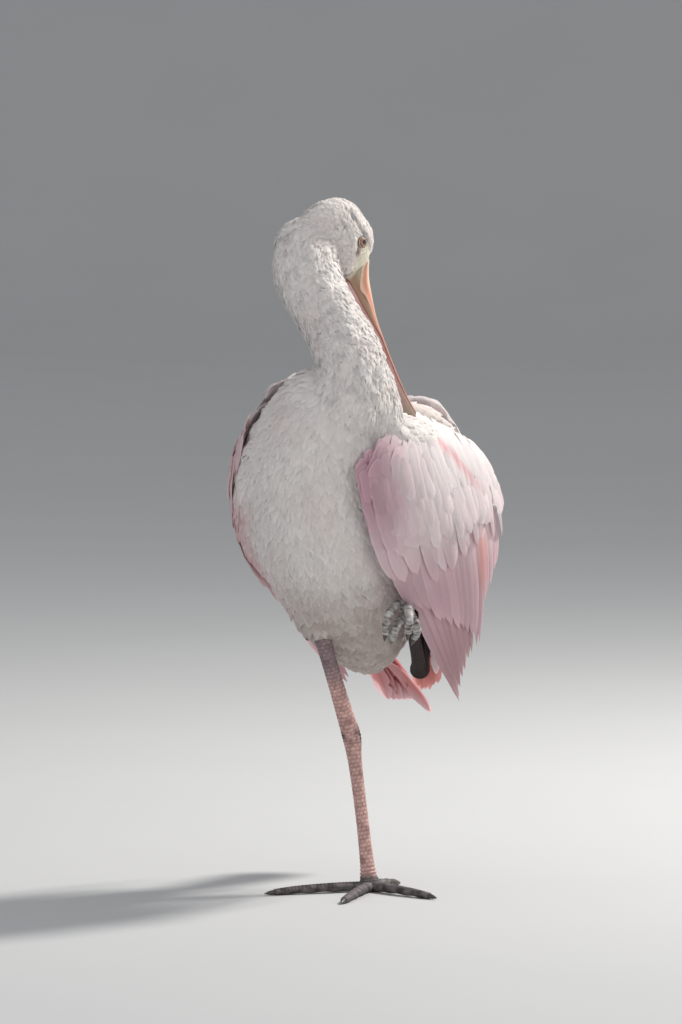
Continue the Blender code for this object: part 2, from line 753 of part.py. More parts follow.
def make_standing_leg():
    skin = shade("leg skin", LEG_PINK, 0.6)
    dark = shade("foot skin", LEG_DARK, 0.6)
    height = TOE_RADIUS * 0.85 - TOE_SINK
    pieces = []
    routes = []
    for _, knuckle, middle, tip in TOES:
        lift = UP * height
        low = UP * (TOE_TIP_RADIUS * 0.85 - TOE_SINK)
        points = [SOLE_CENTRE + lift, knuckle + lift + UP * 0.5, middle + lift * 0.9, tip + low]
        routes.append((SOLE_CENTRE, knuckle, middle, tip))
        pieces.append(toe_form(points, TOE_RADIUS, TOE_TIP_RADIUS))
    for first, second in ((0, 1), (1, 2)):
        pieces.append(web_form(routes[first], routes[second], WEB_THICKNESS / 2 + 0.2))
    pad = [ring(SOLE_CENTRE + UP * height, RIGHTWARDS, BACK, radius, radius, LEG_SIDES)
           for height, radius in PAD_RINGS]
    pieces.append(loft(pad))
    node("foot_right", pieces, dark, cutters=[below(0)])
    rise = (ANKLE - TARSUS_FOOT).normalized()
    tarsus_start = Vector((-0.5, 0.4, PAD_HEIGHT - 2))
    node("tarsus_right", [leg_tube(
        (tarsus_start, tarsus_start + rise * 14, tarsus_start + rise * 55, ANKLE - rise * 14, ANKLE),
        (14, 10.6, TARSUS_WIDTH, 11, ANKLE_WIDTH))], skin, cutters=[below(PAD_HEIGHT + GAP)])
    climb = (SHANK_TOP - ANKLE).normalized()
    start = ANKLE + climb * GAP * 1.6
    knob = Route((ANKLE - rise * 14, ANKLE), (11, ANKLE_WIDTH))
    node("shank_right", [leg_tube(
        (start, start + climb * 12, start + climb * 30, SHANK_TOP - climb * 20, SHANK_TOP),
        (ANKLE_WIDTH, 13.2, SHANK_WIDTH, 12, 14))], skin,
        cutters=[tube(knob, 4, LEG_SIDES, grow=GAP), torso_form(GAP)])
    thigh_start = SHANK_TOP + climb * GAP
    thigh = Route((thigh_start, thigh_start + climb * 10, thigh_start + climb * 24, THIGH_TOP), THIGH_WIDTHS)
    node("thigh_right", [tube(thigh, 8, 16)], shade("thigh feathers", WHITE_DOWN, 0.9),
         cutters=[torso_form(GAP)])


def make_raised_leg():
    skin = shade("raised leg skin", LEG_DARK, 0.6)

    def thigh(grow=0.0):
        route = Route((LEFT_HIP, (LEFT_HIP + LEFT_KNEE) / 2, LEFT_KNEE), (54, 42, 20))
        return tube(route, 7, 14, grow=grow)

    def shank(grow=0.0):
        route = Route((LEFT_KNEE + drop * 6, LEFT_KNEE + drop * 28, LEFT_ANKLE - drop * 16, LEFT_ANKLE),
                      (18, 13, 12, ANKLE_WIDTH))
        return tube(route, 8, LEG_SIDES, grow=grow)

    drop = (LEFT_ANKLE - LEFT_KNEE).normalized()
    node("thigh_left", [thigh()], shade("left thigh feathers", WHITE_DOWN, 0.9), cutters=[torso_form(GAP)])
    node("shank_left", [shank()], skin, cutters=[torso_form(GAP), thigh(GAP)])
    lift = (LEFT_TOE_BASE - LEFT_ANKLE).normalized()
    start = LEFT_ANKLE + lift * 2
    node("tarsus_left", [leg_tube(
        (start, start + lift * 14, start + lift * 50, LEFT_TOE_BASE - lift * 12, LEFT_TOE_BASE),
        (14, 10.6, TARSUS_WIDTH, 10, 12))], skin, cutters=[torso_form(GAP), shank(GAP)])
    base = LEFT_TOE_BASE + lift * (GAP + 5)
    pieces = [ball(base, 6.6, 10, 7)]
    for knuckle, bend, tip in RAISED_TOES:
        pieces.append(toe_form([base, base + knuckle, base + bend, base + tip], 3.7, 2.7))
    node("foot_left", pieces, skin, cutters=[
        torso_form(GAP),
        tube(Route((LEFT_TOE_BASE - lift * 12, LEFT_TOE_BASE), (10, 12)), 3, LEG_SIDES, grow=GAP)])


def make_torso():
    node("torso", [torso_form()], shade("breast and back feathers", WHITE_DOWN, 0.9))


def make_tail():
    side = TAIL_LINE.cross(UP).normalized()
    side = Matrix.Rotation(-TAIL_ROLL, 3, TAIL_LINE) @ side
    top = side.cross(TAIL_LINE).normalized()
    stump = Route((TAIL_ROOT - TAIL_LINE * 24, TAIL_ROOT, TAIL_ROOT + TAIL_LINE * 22), (32, 34, 28))
    pieces = [tube(stump, 6, 12, across=side, flatten=0.42)]
    # A closed tail: the middle pair lies on top and each feather outwards lies under the last
    order = sorted(range(TAIL_COUNT), key=lambda n: (abs(2 * n - TAIL_COUNT + 1), n))
    for layer, n in enumerate(order):
        place = -1 + 2 * n / (TAIL_COUNT - 1)
        turn = Matrix.Rotation(-place * TAIL_SPREAD, 3, top)
        heading, own_side = turn @ TAIL_LINE, turn @ side
        lift = ((TAIL_COUNT - 1) / 2 - layer) * TAIL_LAYER
        root = TAIL_ROOT + side * (place * TAIL_ROOT_HALF) + top * lift
        reach = TAIL_LENGTH * (1 - 0.07 * place * place)
        stations = []
        for k, share in VANE_PROFILE:
            centre = root + heading * (reach * k) - top * (reach * 0.08 * k * k)
            half = TAIL_VANE_WIDTH / 2 * share
            stations.append([[centre + own_side * (edge * half) + top * (out * VANE_THICKNESS / 2)
                              for out in (1, -1)] for edge in (-1, 0, 1)])
        pieces.append(vane_mesh(stations))
    node("tail", pieces, shade("tail feathers", ROSE, 0.7), cutters=[torso_form(GAP)])


def wing_nodes(side, sheet, layers, lean, arm, shoulders, cutters, over=()):
    """The three nodes of one wing. cutters and shoulders give fresh forms, over joins the coverts."""
    pink = shade(side + " wing coverts", PALE_PINK, 0.7)
    rose = shade(side + " wing quills", ROSE, 0.7)

    def arm_forms(grow=0.0):
        return [tube(arm, ARM_RINGS, ARM_SIDES, grow=grow)] + shoulders(grow)

    def clear_of_coverts():
        low, _, high = layers["coverts"]
        return arm_forms(GAP) + [sheet_slab(sheet, (-0.02, SLAB_END + 0.01), ALL_STEPS, low - GAP, high)]

    def tier(name, lift):
        return shingles(sheet, *TIERS[name], lift, lean)

    low, middle, high = layers["coverts"]
    pieces = arm_forms() + list(over) + [sheet_slab(sheet, (0, SLAB_END), ALL_STEPS, low, high)]
    pieces += tier("coverts", middle) + tier("median", layers["median"])
    node("wing_" + side + "_coverts", pieces, pink, cutters=cutters())
    low, middle, high = layers["arm"]
    pieces = [sheet_slab(sheet, ROOT_SLAB, ARM_STEPS, low, high)] + tier("arm", middle) + tier("tertials", middle)
    node("wing_" + side + "_secondaries", pieces, rose, cutters=cutters() + clear_of_coverts())
    low, middle, high = layers["hand"]
    pieces = [sheet_slab(sheet, ROOT_SLAB, HAND_STEPS, low, high)] + tier("hand", middle)
    node("wing_" + side + "_primaries", pieces, rose, cutters=cutters() + clear_of_coverts())


def make_left_wing():
    outward = Vector((1, -0.6, 0.2))
    sheet = Sheet(LEFT_WING, outward, margin=WING_MARGIN)
    arm = Route([sheet.lifted(0, y, ARM_LIFT) for y, _ in LEFT_ARM], [width for _, width in LEFT_ARM])
    shoulder = Route([*LEFT_SHOULDER, sheet.lifted(0, 0.6, ARM_LIFT)], SHOULDER_WIDTHS)

    def shoulders(grow):
        return [tube(shoulder, 6, 12, grow=grow)]

    def cutters():
        return [torso_form(GAP), bill_clearance(GAP * 2),
                tube(neck_route(), NECK_RINGS, NECK_SIDES, across=RIGHTWARDS, end=NECK_CUTS[2],
                     grow=GAP)]

    # Front shoulder feathers lie over the arm, side by side, from the shoulder to the back edge
    cover = Sheet([[sheet.lifted(x, y, lift + top) for x, lift in COVER_ROWS]
                   for y, top in COVER_COLUMNS], outward)
    over = shingles(cover, 6, (0, 0), (0.62, 1.0), (0.2, 0.88), (0.06, 0.92), 0, -1)
    wing_nodes("left", sheet, LEFT_LAYERS, -1, arm, shoulders, cutters, over)
    mantle = Sheet(LEFT_MANTLE, Vector((0.3, 0.7, 0.7)))
    pieces = [sheet_slab(mantle, (-0.05, 0.14), ALL_STEPS, -2.5, 5)]
    pieces += shingles(mantle, 6, (0.08, 0.08), (0.98, 0.98), (0.06, 0.94), (0.04, 0.95), -0.8, 1)
    pieces += shingles(mantle, 5, (0.08, 0.08), (0.62, 0.62), (0.08, 0.92), (0.08, 0.92), 3.0, 1)
    node("scapulars_left", pieces, shade("left shoulder feathers", WHITE_DOWN, 0.8), cutters=cutters())


def make_right_wing():
    rows = []
    for along, turns in RIGHT_ROWS:
        rows.append([torso_point(along, math.radians(turn), WING_MARGIN) for turn in turns])
    rows.append(RIGHT_TIPS)
    sheet = Sheet(rows, -BODY_LEFT + BODY_BACK * 0.3, margin=WING_MARGIN)
    arm = Route([sheet.lifted(0, y, 1) for y, _ in RIGHT_ARM], [width for _, width in RIGHT_ARM])

    def cutters():
        return [torso_form(GAP)]

    wing_nodes("right", sheet, RIGHT_LAYERS, 1, arm, lambda grow: [], cutters)
    mantle = Sheet([[torso_point(along, math.radians(turn), lift) for along in RIGHT_MANTLE_ALONG]
                    for turn, lift in RIGHT_MANTLE_TURNS], -BODY_LEFT + BODY_BACK)
    pieces = [sheet_slab(mantle, (-0.05, 0.16), ALL_STEPS, -3, 3)]
    pieces += shingles(mantle, 6, (0.1, 0.1), (0.98, 0.98), (0.06, 0.94), (0.14, 1.04), 0.8, 1)
    node("scapulars_right", pieces, shade("right shoulder feathers", WHITE_DOWN, 0.8), cutters=[
        torso_form(GAP), tube(arm, ARM_RINGS, ARM_SIDES, grow=GAP),
        sheet_slab(sheet, (-0.02, 0.6), (0, 11), -1, RIGHT_LAYERS["coverts"][2] + GAP)])


def clear_scene():
    for thing in list(bpy.data.objects):
        bpy.data.objects.remove(thing, do_unlink=True)


clear_scene()
MODEL = bpy.data.collections.new("roseate spoonbill")
bpy.context.scene.collection.children.link(MODEL)
BIRD = bpy.data.objects.new("bird", None)
MODEL.objects.link(BIRD)
make_torso()
make_neck()
make_head()
make_bill()
make_standing_leg()
make_raised_leg()
make_tail()
make_left_wing()
make_right_wing()
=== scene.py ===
"""The looks of a life-size roseate spoonbill that preens on one leg.

One skin lies under the down, feathers and bare face. Quills and coverts lie in tiers on bent sheets,
the bill, eyes, claws and scaled legs are pieces of their own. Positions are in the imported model's
frame: +Z up, the breast towards -Y, the bird's left towards +X. Named sizes are in millimetres and
MM turns them into metres.
"""
import math

import bmesh
import bpy
import numpy as np
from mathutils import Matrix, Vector
from mathutils.bvhtree import BVHTree

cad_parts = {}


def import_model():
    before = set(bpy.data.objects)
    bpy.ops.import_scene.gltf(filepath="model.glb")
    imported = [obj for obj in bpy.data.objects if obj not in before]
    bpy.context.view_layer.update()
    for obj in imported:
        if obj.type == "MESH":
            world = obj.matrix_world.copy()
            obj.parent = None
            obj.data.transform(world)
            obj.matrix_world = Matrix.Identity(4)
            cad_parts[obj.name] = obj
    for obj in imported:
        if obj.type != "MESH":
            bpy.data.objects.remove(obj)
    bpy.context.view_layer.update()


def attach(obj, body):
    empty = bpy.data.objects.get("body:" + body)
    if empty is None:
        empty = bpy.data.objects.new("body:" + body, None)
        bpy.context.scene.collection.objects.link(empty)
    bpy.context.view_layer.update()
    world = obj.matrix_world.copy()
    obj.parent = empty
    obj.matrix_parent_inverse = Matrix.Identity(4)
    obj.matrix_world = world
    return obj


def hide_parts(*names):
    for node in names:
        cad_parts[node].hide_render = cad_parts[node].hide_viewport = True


MM = 0.001
BODY = "root"

# Body, as in the solids: a long round form from the vent to the chest
BODY_CENTRE = (-23, -22, 282)
BODY_YAW = math.radians(12)
BODY_PITCH = math.radians(47)
BODY_STATIONS = (
    (-165, 2, 2, 5), (-155, 17, 15, 4), (-135, 31, 27, 4), (-110, 41, 40, 2), (-80, 49, 52, 0),
    (-45, 60, 60, -1), (0, 67, 66, -2), (45, 66, 66, -1), (85, 60, 59, 3), (115, 45, 48, 6),
    (138, 26, 32, 8), (150, 2, 2, 8),
)
NECK_ROUTE = ((-34, -76, 345), (-22, -98, 374), (-14, -101, 405), (-24, -88, 433), (-38, -75, 457),
              (-48, -62, 480), (-47, -52, 500), (-42, -46, 512))
NECK_WIDTHS = (74, 68, 57, 51, 50, 54, 52, 40)

BILL_BASE = (-11.8, -38, 469.7)
BILL_FORWARD = (0.364, 0.25, -0.897)
CROWN_LEAN = (0.82, 0.45, 0.3)
BILL_LENGTH = 165
# Place along the bill, half width, height of the ridge, depth of the lower edge
BILL_STATIONS = (
    (0, 12, 12, -11.5), (12, 10.5, 9.2, -9.4), (30, 8.6, 5.4, -6.6), (50, 7.6, 3.6, -4.6),
    (72, 7.3, 2.9, -3.8), (95, 9, 2.7, -3.3), (115, 15.5, 2.6, -3), (132, 23, 2.6, -2.8),
    (143, 25, 2.5, -2.7), (154, 22, 2.3, -2.5), (161, 14, 2.1, -2.2), (165, 5, 1.7, -1.8),
)
EYE_PLACE = (-32, 10.2)
EYE_OUT = 12.6
EYE_RADIUS = 6.2
EYE_OPENING = 4.0
# Angles from the gaze where the pupil ends and where the iris darkens
PUPIL_EDGE, IRIS_EDGE = (0.40, 0.43), (0.56, 0.64)
# Edge of the bare face: height over the bill's line, place along it where the feathers begin
FACE_EDGE = ((-16, -5), (-12, -7), (-6, -10.5), (0, -21), (4, -31), (8.5, -37.5), (13, -36), (15.5, -31),
             (19, -25))

# Legs
SHANK_TOP = (-37, -12, 198)
LEG_SHARES = ((-0.5, 0.4, 3, 16), (-0.8, 0.8, 9, 13.6), (-2.2, 2.2, 22, 10.8), (-6.5, 6.8, 60, 9.6),
              (-11.6, 12, 100, 10.8), (-14, 14.4, 118, 14.4), (-18, 9.8, 132, 13.4), (-25, 1.5, 156, 12),
              (-33, -7.5, 184, 12), (-37, -12, 200, 14), (-41, -16, 218, 16))
LEFT_KNEE = (47, -16, 232)
LEFT_ANKLE = (39, 40, 168)
LEFT_TOE_BASE = (31, -48, 216)
RAISED_TOES = (((-9, -14, 9), (-17, -32, 1), (-19, -24, -13)), ((-2, -16, 7), (-1, -36, 0), (-2, -29, -12)),
               ((-7, -11, -3), (-12, -28, -10), (-14, -17, -18)), ((4, -4, -8), (5, 0, -14), (3, 4, -19)))
TOES = (((-30, -13), (-56, -22), (-73, -30)), ((-8, -34), (-15, -64), (-20, -85)),
        ((18, -24), (34, -42), (45, -55)), ((9, 14), (15, 25), (20, 35)))
CLAW_LENGTH = 9
RAISED_CLAW_LENGTH = 7
# Between the rings of a scaled toe or shank
RING_GAP = 0.55

# Sheets that the feathers lie on: rows from the arm to the tips, each from front to back
LEFT_WING = (((-15, -121, 339), (33, -73, 358), (66, 6, 343)), ((3, -96, 262), (56, -48, 266), (93, 24, 279)),
             ((64, 62, 144), (70, 86, 144), (78, 104, 147)))
RIGHT_TIPS = ((-26, 136, 150), (-6, 158, 150), (8, 166, 158))
LEFT_MANTLE = (((-4, -8, 352), (0, 30, 316), (2, 62, 262)), ((33, 24, 374), (44, 56, 323), (40, 84, 255)),
               ((66, 26, 356), (84, 62, 296), (72, 98, 228)))
TAIL_ROOT = (7, 80, 178)
TAIL_LINE = (0.27, 0.86, -0.36)
TAIL_ROLL = math.radians(14)
TAIL_FEATHERS = 12
TAIL_LENGTH = 112
# How far a feather's tip droops, as a share of its length
TAIL_DROP = 0.08

# Camera: the photograph's view, with its middle on the bird's leg line
LENS = 251
SENSOR_WIDTH = 36
CAMERA_DISTANCE = 5.5
CAMERA_ELEVATION = math.radians(3.5)
CAMERA_TARGET = (-22.3, 0, 293.4)

# Colours, as seen under white light, with a few that paint in shade or sunlight
WHITE = (0.92, 0.89, 0.87)
SHADE_WHITE = (0.84, 0.79, 0.76)
BLUSH = (0.87, 0.74, 0.74)
RED = (0.62, 0.12, 0.10)
BARE_FACE = (0.74, 0.70, 0.60)
EYE_SHADOW = (0.20, 0.12, 0.13)
CORAL = (0.72, 0.30, 0.22)
CREAM = (0.72, 0.60, 0.46)
OLIVE = (0.30, 0.27, 0.17)
BILL_MAUVE = (0.42, 0.22, 0.22)
NOSTRIL = (0.10, 0.04, 0.02)
LEG_PINK = (0.66, 0.42, 0.38)
LEG_GREY = (0.30, 0.22, 0.23)
FOOT_GREY = (0.13, 0.11, 0.11)
# Painted shade: the raised leg lies in the wing's shadow
RAISED_LEG_SHADE = (0.022, 0.006, 0.006)
# Painted sunlight on the raised toes
RAISED_TOE_SUNLIT = (0.52, 0.50, 0.48)
AMBER = (0.48, 0.19, 0.05)
# Down and face
FRONT_EDGE_ROSE = (0.80, 0.53, 0.56)
BELLY_SHADE_BROWN = (0.50, 0.41, 0.36)
DOWN_SHADE_GREY = (0.46, 0.45, 0.45)
BROW_SHADE = (0.36, 0.33, 0.32)
FACE_OCHRE = (0.58, 0.53, 0.40)
FACE_MOTTLE = (0.60, 0.50, 0.38)
GAPE_DARK = (0.16, 0.08, 0.06)
EYE_HOLLOW_SHADE = (0.30, 0.22, 0.18)
# Wings: the left one from the back to the front edge and the tips, then the right one
LEFT_PINK = (0.90, 0.79, 0.80)
LEFT_WHITE = (0.92, 0.88, 0.88)
LEFT_FRONT_MAUVE = (0.60, 0.35, 0.43)
LEFT_ROSE_GREY = (0.68, 0.47, 0.52)
LEFT_TIP_MAUVE = (0.46, 0.27, 0.31)
LEFT_STREAK_ROSE = (0.86, 0.50, 0.52)
LEFT_STRIPE_RED = (0.84, 0.40, 0.36)
RIGHT_PINK = (0.86, 0.66, 0.68)
RIGHT_WHITE = (0.92, 0.86, 0.86)
RIGHT_TIP_ROSE = (0.70, 0.46, 0.48)
COVERT_SHAFT = (0.72, 0.36, 0.36)
PRIMARY_SHAFT = (0.42, 0.16, 0.16)
PRIMARY_TIP = (0.50, 0.30, 0.32)
SECONDARY_SHAFT = (0.66, 0.34, 0.36)
# Mantle, tail and the feathers under the tail
MANTLE_WHITE = (0.91, 0.85, 0.85)
MANTLE_SHAFT = (0.82, 0.58, 0.60)
TAIL_ROSE = (0.72, 0.32, 0.33)
TAIL_TIP = (0.80, 0.66, 0.71)
UNDERTAIL_RED = (0.70, 0.20, 0.17)
UNDERTAIL_SHAFT = (0.60, 0.10, 0.08)
UNDERTAIL_TIP = (0.80, 0.42, 0.40)
UNDERTAIL_WHITE = (0.90, 0.82, 0.84)
# Bill and eyes
BILL_PALE_MAUVE = (0.50, 0.33, 0.33)
BILL_MARGIN = (0.30, 0.12, 0.08)
SPOON_BELOW = (0.48, 0.46, 0.34)
SPOON_ABOVE = (0.55, 0.50, 0.36)
NOSTRIL_BROWN = (0.34, 0.19, 0.10)
IRIS_STREAK = (0.36, 0.11, 0.03)
IRIS_RIM = (0.10, 0.04, 0.02)
PUPIL = (0.004, 0.004, 0.005)
LID = (0.46, 0.37, 0.32)
LID_FOLD = (0.35, 0.27, 0.24)
# Legs, toes and claws
LEG_PINK_DARK = (0.30, 0.15, 0.13)
LEG_GREY_DARK = (0.16, 0.11, 0.12)
ANKLE_DARK = (0.08, 0.05, 0.05)
FOOT_PALE = (0.17, 0.15, 0.15)
FOOT_DARK = (0.05, 0.04, 0.04)
RAISED_LEG_DEEP_SHADE = (0.010, 0.004, 0.004)
RAISED_TOE_SHADE = (0.05, 0.035, 0.035)
CLAW = (0.03, 0.03, 0.03)
CLAW_DARK = (0.02, 0.018, 0.018)
CLAW_PALE = (0.09, 0.075, 0.07)

# Studio: each light's name, place, size, power and colour, and the floor that bends up into the wall
LIGHTS = (("sun side", (1.6, 0.9, 2.0), 0.45, 88, (1.0, 0.97, 0.92)),
          ("soft front", (-1.4, -2.6, 1.7), 2.2, 16, (0.93, 0.96, 1.0)),
          ("low front", (0.9, -2.2, 0.5), 1.4, 8, (1.0, 0.97, 0.94)))
LIGHTS_TARGET = (0, 0, 0.3)
SKY = (0.80, 0.81, 0.83, 1)
SKY_STRENGTH = 0.62
FLOOR_DARK = (0.50, 0.505, 0.51)
FLOOR_PALE = (0.53, 0.535, 0.54)
FLOOR_HALF_WIDTH = 9
FLOOR_LENGTH = 24
FLOOR_FRONT = -7
WALL_LEAN = math.radians(84)
WALL_BEND = (0.72, 0.95)


def mm(values):
    """Millimetres as an array in metres."""
    return np.array(values, float) * MM


def unit(vectors):
    return vectors / np.maximum(np.linalg.norm(vectors, axis=-1, keepdims=True), 1e-12)


def blend(low, high, share):
    """Between two numbers or arrays of them."""
    return low + (high - low) * share


def mixed(low, high, share):
    """Between two colours, by one share for each point."""
    return blend(np.asarray(low, float), np.asarray(high, float), np.asarray(share, float)[..., None])


def step(low, high, value):
    """0 below low, 1 above high and smooth between them."""
    share = np.clip((value - low) / (high - low), 0, 1)
    return share * share * (3 - 2 * share)


def bell(offset, reach):
    """1 at 0, and softly down to 0 on both sides."""
    return np.exp(-(offset / reach) ** 2)


def ripples(points, wavelength, seed, count=24):
    """Smooth seeded noise between about -1 and 1 over points in metres."""
    draw = np.random.default_rng(seed)
    waves = unit(draw.normal(size=(count, 3))) * (math.tau / wavelength) * draw.uniform(0.6, 1.5, (count, 1))
    turns = draw.uniform(0, math.tau, count)
    return np.sin(points @ waves.T + turns).sum(-1) / math.sqrt(count / 2) / 1.6


def smooth_curve(stations, places):
    """Values at places on a smooth curve through stations of (place, value, ...)."""
    table = np.asarray(stations, float)
    x, y = table[:, 0], table[:, 1:]
    places = np.clip(places, x[0], x[-1])
    low = np.clip(np.searchsorted(x, places, side="right") - 1, 0, len(x) - 2)
    high = low + 1
    before, after = np.maximum(low - 1, 0), np.minimum(low + 2, len(x) - 1)
    span = (x[high] - x[low])[..., None]
    k = (places - x[low])[..., None] / span
    slope_low = (y[high] - y[before]) / (x[high] - x[before])[..., None] * span
    slope_high = (y[after] - y[low]) / (x[after] - x[low])[..., None] * span
    return (y[low] * (2 * k**3 - 3 * k**2 + 1) + slope_low * (k**3 - 2 * k**2 + k)
            + y[high] * (3 * k**2 - 2 * k**3) + slope_high * (k**3 - k**2))


BODY_FORWARD = np.array((-math.sin(BODY_YAW), -math.cos(BODY_YAW), 0))
BODY_AXIS = BODY_FORWARD * math.cos(BODY_PITCH) + np.array((0, 0, math.sin(BODY_PITCH)))
BODY_LEFT = np.array((math.cos(BODY_YAW), -math.sin(BODY_YAW), 0))
BODY_BACK = -np.cross(BODY_LEFT, BODY_AXIS)
HEAD_FORWARD = unit(np.array(BILL_FORWARD))
HEAD_UP = unit(np.array(CROWN_LEAN) - HEAD_FORWARD * np.dot(CROWN_LEAN, HEAD_FORWARD))
HEAD_RIGHT = np.cross(HEAD_FORWARD, HEAD_UP)


def head_place(along, rise, right=0.0):
    """Places in the head's own frame, from sizes in millimetres."""
    along, rise, right = (np.asarray(size, float)[..., None] for size in (along, rise, right))
    return mm(BILL_BASE) + (HEAD_FORWARD * along + HEAD_UP * rise + HEAD_RIGHT * right) * MM


def in_head(points):
    """Sizes in millimetres along the bill's line, up to the crown and to the right cheek."""
    offset = (points - mm(BILL_BASE)) / MM
    return offset @ HEAD_FORWARD, offset @ HEAD_UP, offset @ HEAD_RIGHT


def torso_point(along, turn, grow=0.0):
    """Places on the body, from millimetres along its axis and degrees round it."""
    sizes = smooth_curve(BODY_STATIONS, np.asarray(along, float))
    width, depth, shift = sizes[..., 0], sizes[..., 1], sizes[..., 2]
    turn = np.radians(turn)
    left = (width + grow) * np.cos(turn)
    back = (depth + grow) * np.sin(turn) + shift
    return (mm(BODY_CENTRE) + (BODY_AXIS * np.asarray(along, float)[..., None] + BODY_LEFT * left[..., None]
                               + BODY_BACK * back[..., None]) * MM)


def out_of_torso(points, margin):
    """The points, moved out along the body's radius where they lie nearer than the margin."""
    offset = (points - mm(BODY_CENTRE)) / MM
    along = offset @ BODY_AXIS
    sizes = smooth_curve(BODY_STATIONS, along)
    left, back = offset @ BODY_LEFT, offset @ BODY_BACK - sizes[..., 2]
    reach = np.hypot(left / (sizes[..., 0] + margin), back / (sizes[..., 1] + margin))
    inside = (reach < 1) & (along > BODY_STATIONS[0][0]) & (along < BODY_STATIONS[-1][0])
    reach = np.where(inside, np.maximum(reach, 0.05), 1)[..., None]
    moved = (BODY_AXIS * along[..., None] + BODY_LEFT * left[..., None] / reach
             + BODY_BACK * (back[..., None] / reach + sizes[..., 2:3]))
    return np.where(inside[..., None], mm(BODY_CENTRE) + moved * MM, points)


class Route:
    """A smooth line through points in millimetres, read in metres at a share of its length."""

    def __init__(self, points, widths):
        points = np.array(points, float)
        lengths = np.concatenate(([0], np.cumsum(np.linalg.norm(np.diff(points, axis=0), axis=1))))
        self.length = lengths[-1]
        self.stations = np.column_stack((lengths, points, np.array(widths, float)))

    def at(self, share):
        return smooth_curve(self.stations, np.asarray(share) * self.length)[..., :3] * MM

    def width(self, share):
        return smooth_curve(self.stations, np.asarray(share) * self.length)[..., 3] * MM

    def heading(self, share):
        share = np.asarray(share, float)
        return unit(self.at(np.minimum(share + 0.01, 1)) - self.at(np.maximum(share - 0.01, 0)))


class Sheet:
    """A bent surface through nine points. x runs down the feathers, y from front to back."""

    def __init__(self, rows, outward, margin=None):
        self.rows = np.array(rows, float) * MM
        self.outward = np.array(outward, float)
        self.margin = margin

    @staticmethod
    def weights(t):
        return np.stack(((1 - t) * (1 - 2 * t), 4 * t * (1 - t), t * (2 * t - 1)), axis=-1)

    def at(self, x, y):
        place = np.einsum("...i,...j,ijk->...k", self.weights(x), self.weights(y), self.rows)
        return place if self.margin is None else out_of_torso(place, self.margin)

    def out(self, x, y):
        reach = 0.02
        along = self.at(x + reach, y) - self.at(x - reach, y)
        across = self.at(x, y + reach) - self.at(x, y - reach)
        normal = unit(np.cross(along, across))
        return normal * np.where(normal @ self.outward < 0, -1, 1)[..., None]


class Shape:
    """Points and faces gathered for one piece, with a tint, maps and soft normals for its points."""

    def __init__(self):
        self.points, self.faces, self.tints = [], [], []
        self.maps = {}
        self.normals = []
        self.count = 0

    def add(self, points, faces, tint, normals=None, **maps):
        """faces are rows of 3 or 4 point numbers. tint is one colour or one for each point."""
        points = points.reshape(-1, 3)
        self.points.append(points)
        self.faces.extend(np.asarray(face) + self.count for face in faces)
        self.tints.append(np.broadcast_to(np.asarray(tint, float).reshape(-1, 3), points.shape))
        for name, places in maps.items():
            self.maps.setdefault(name, []).append(places.reshape(-1, 2))
        if normals is not None:
            self.normals.append(normals.reshape(-1, 3))
        self.count += len(points)

    def build(self, name, material, replaces=(), slot=None):
        """One object of the gathered points, shown in place of the nodes that it replaces."""
        points = np.concatenate(self.points)
        corners = np.concatenate([face.ravel() for face in self.faces]).astype(np.int32)
        totals = np.concatenate([np.full(len(face), face.shape[1]) for face in self.faces]).astype(np.int32)
        starts = np.concatenate(([0], np.cumsum(totals)[:-1])).astype(np.int32)
        mesh = bpy.data.meshes.new(name)
        mesh.vertices.add(len(points))
        mesh.vertices.foreach_set("co", points.ravel())
        mesh.loops.add(len(corners))
        mesh.loops.foreach_set("vertex_index", corners)
        mesh.polygons.add(len(totals))
        mesh.polygons.foreach_set("loop_start", starts)
        mesh.polygons.foreach_set("loop_total", totals)
        mesh.update(calc_edges=True)
        tints = np.ones((len(points), 4))
        tints[:, :3] = np.clip(np.concatenate(self.tints), 0, 1)
        mesh.attributes.new("tint", "FLOAT_COLOR", "POINT").data.foreach_set("color", tints.ravel())
        for map_name, places in self.maps.items():
            layer = mesh.uv_layers.new(name=map_name)
            layer.data.foreach_set("uv", np.concatenate(places)[corners].ravel())
        mesh.polygons.foreach_set("use_smooth", np.ones(len(totals), bool))
        if self.normals:
            mesh.normals_split_custom_set_from_vertices(np.concatenate(self.normals).tolist())
        return place_piece(name, mesh, material, replaces)


def place_piece(name, mesh, material, replaces=()):
    """Puts a finished mesh into the scene as one piece of the bird."""
    mesh.materials.clear()
    mesh.materials.append(material)
    piece = bpy.data.objects.new(name, mesh)
    bpy.context.scene.collection.objects.link(piece)
    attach(piece, BODY)
    if replaces:
        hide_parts(*replaces)
    return piece


def grid_faces(rows, columns, closed=True):
    """Quads over a grid of points: columns joined round and facing out, or an open sheet facing up."""
    row, column = np.meshgrid(np.arange(rows - 1), np.arange(columns - (0 if closed else 1)), indexing="ij")
    here, there = row * columns + column, row * columns + (column + 1) % columns
    quads = np.stack((here, there, there + columns, here + columns), axis=-1).reshape(-1, 4)
    return quads if closed else quads[:, ::-1]


def turned_out(points, faces):
    """The faces of a closed form, turned over where they face inwards."""
    middle = points.mean(0)
    volume = 0.0
    for group in faces:
        for k in range(1, group.shape[1] - 1):
            a, b, c = (points[group[:, n]] - middle for n in (0, k, k + 1))
            volume += (a * np.cross(b, c)).sum()
    return faces if volume > 0 else [group[:, ::-1] for group in faces]


def cap_faces(rows, columns):
    """Fans over both ends of a closed grid, whose two middle points follow the grid's own."""
    ring = np.arange(columns)
    first = np.stack((np.roll(ring, -1), ring, np.full(columns, rows * columns)), axis=-1)
    last_row = ring + (rows - 1) * columns
    last = np.stack((last_row, np.roll(last_row, -1), np.full(columns, rows * columns + 1)), axis=-1)
    return np.concatenate((first, last))


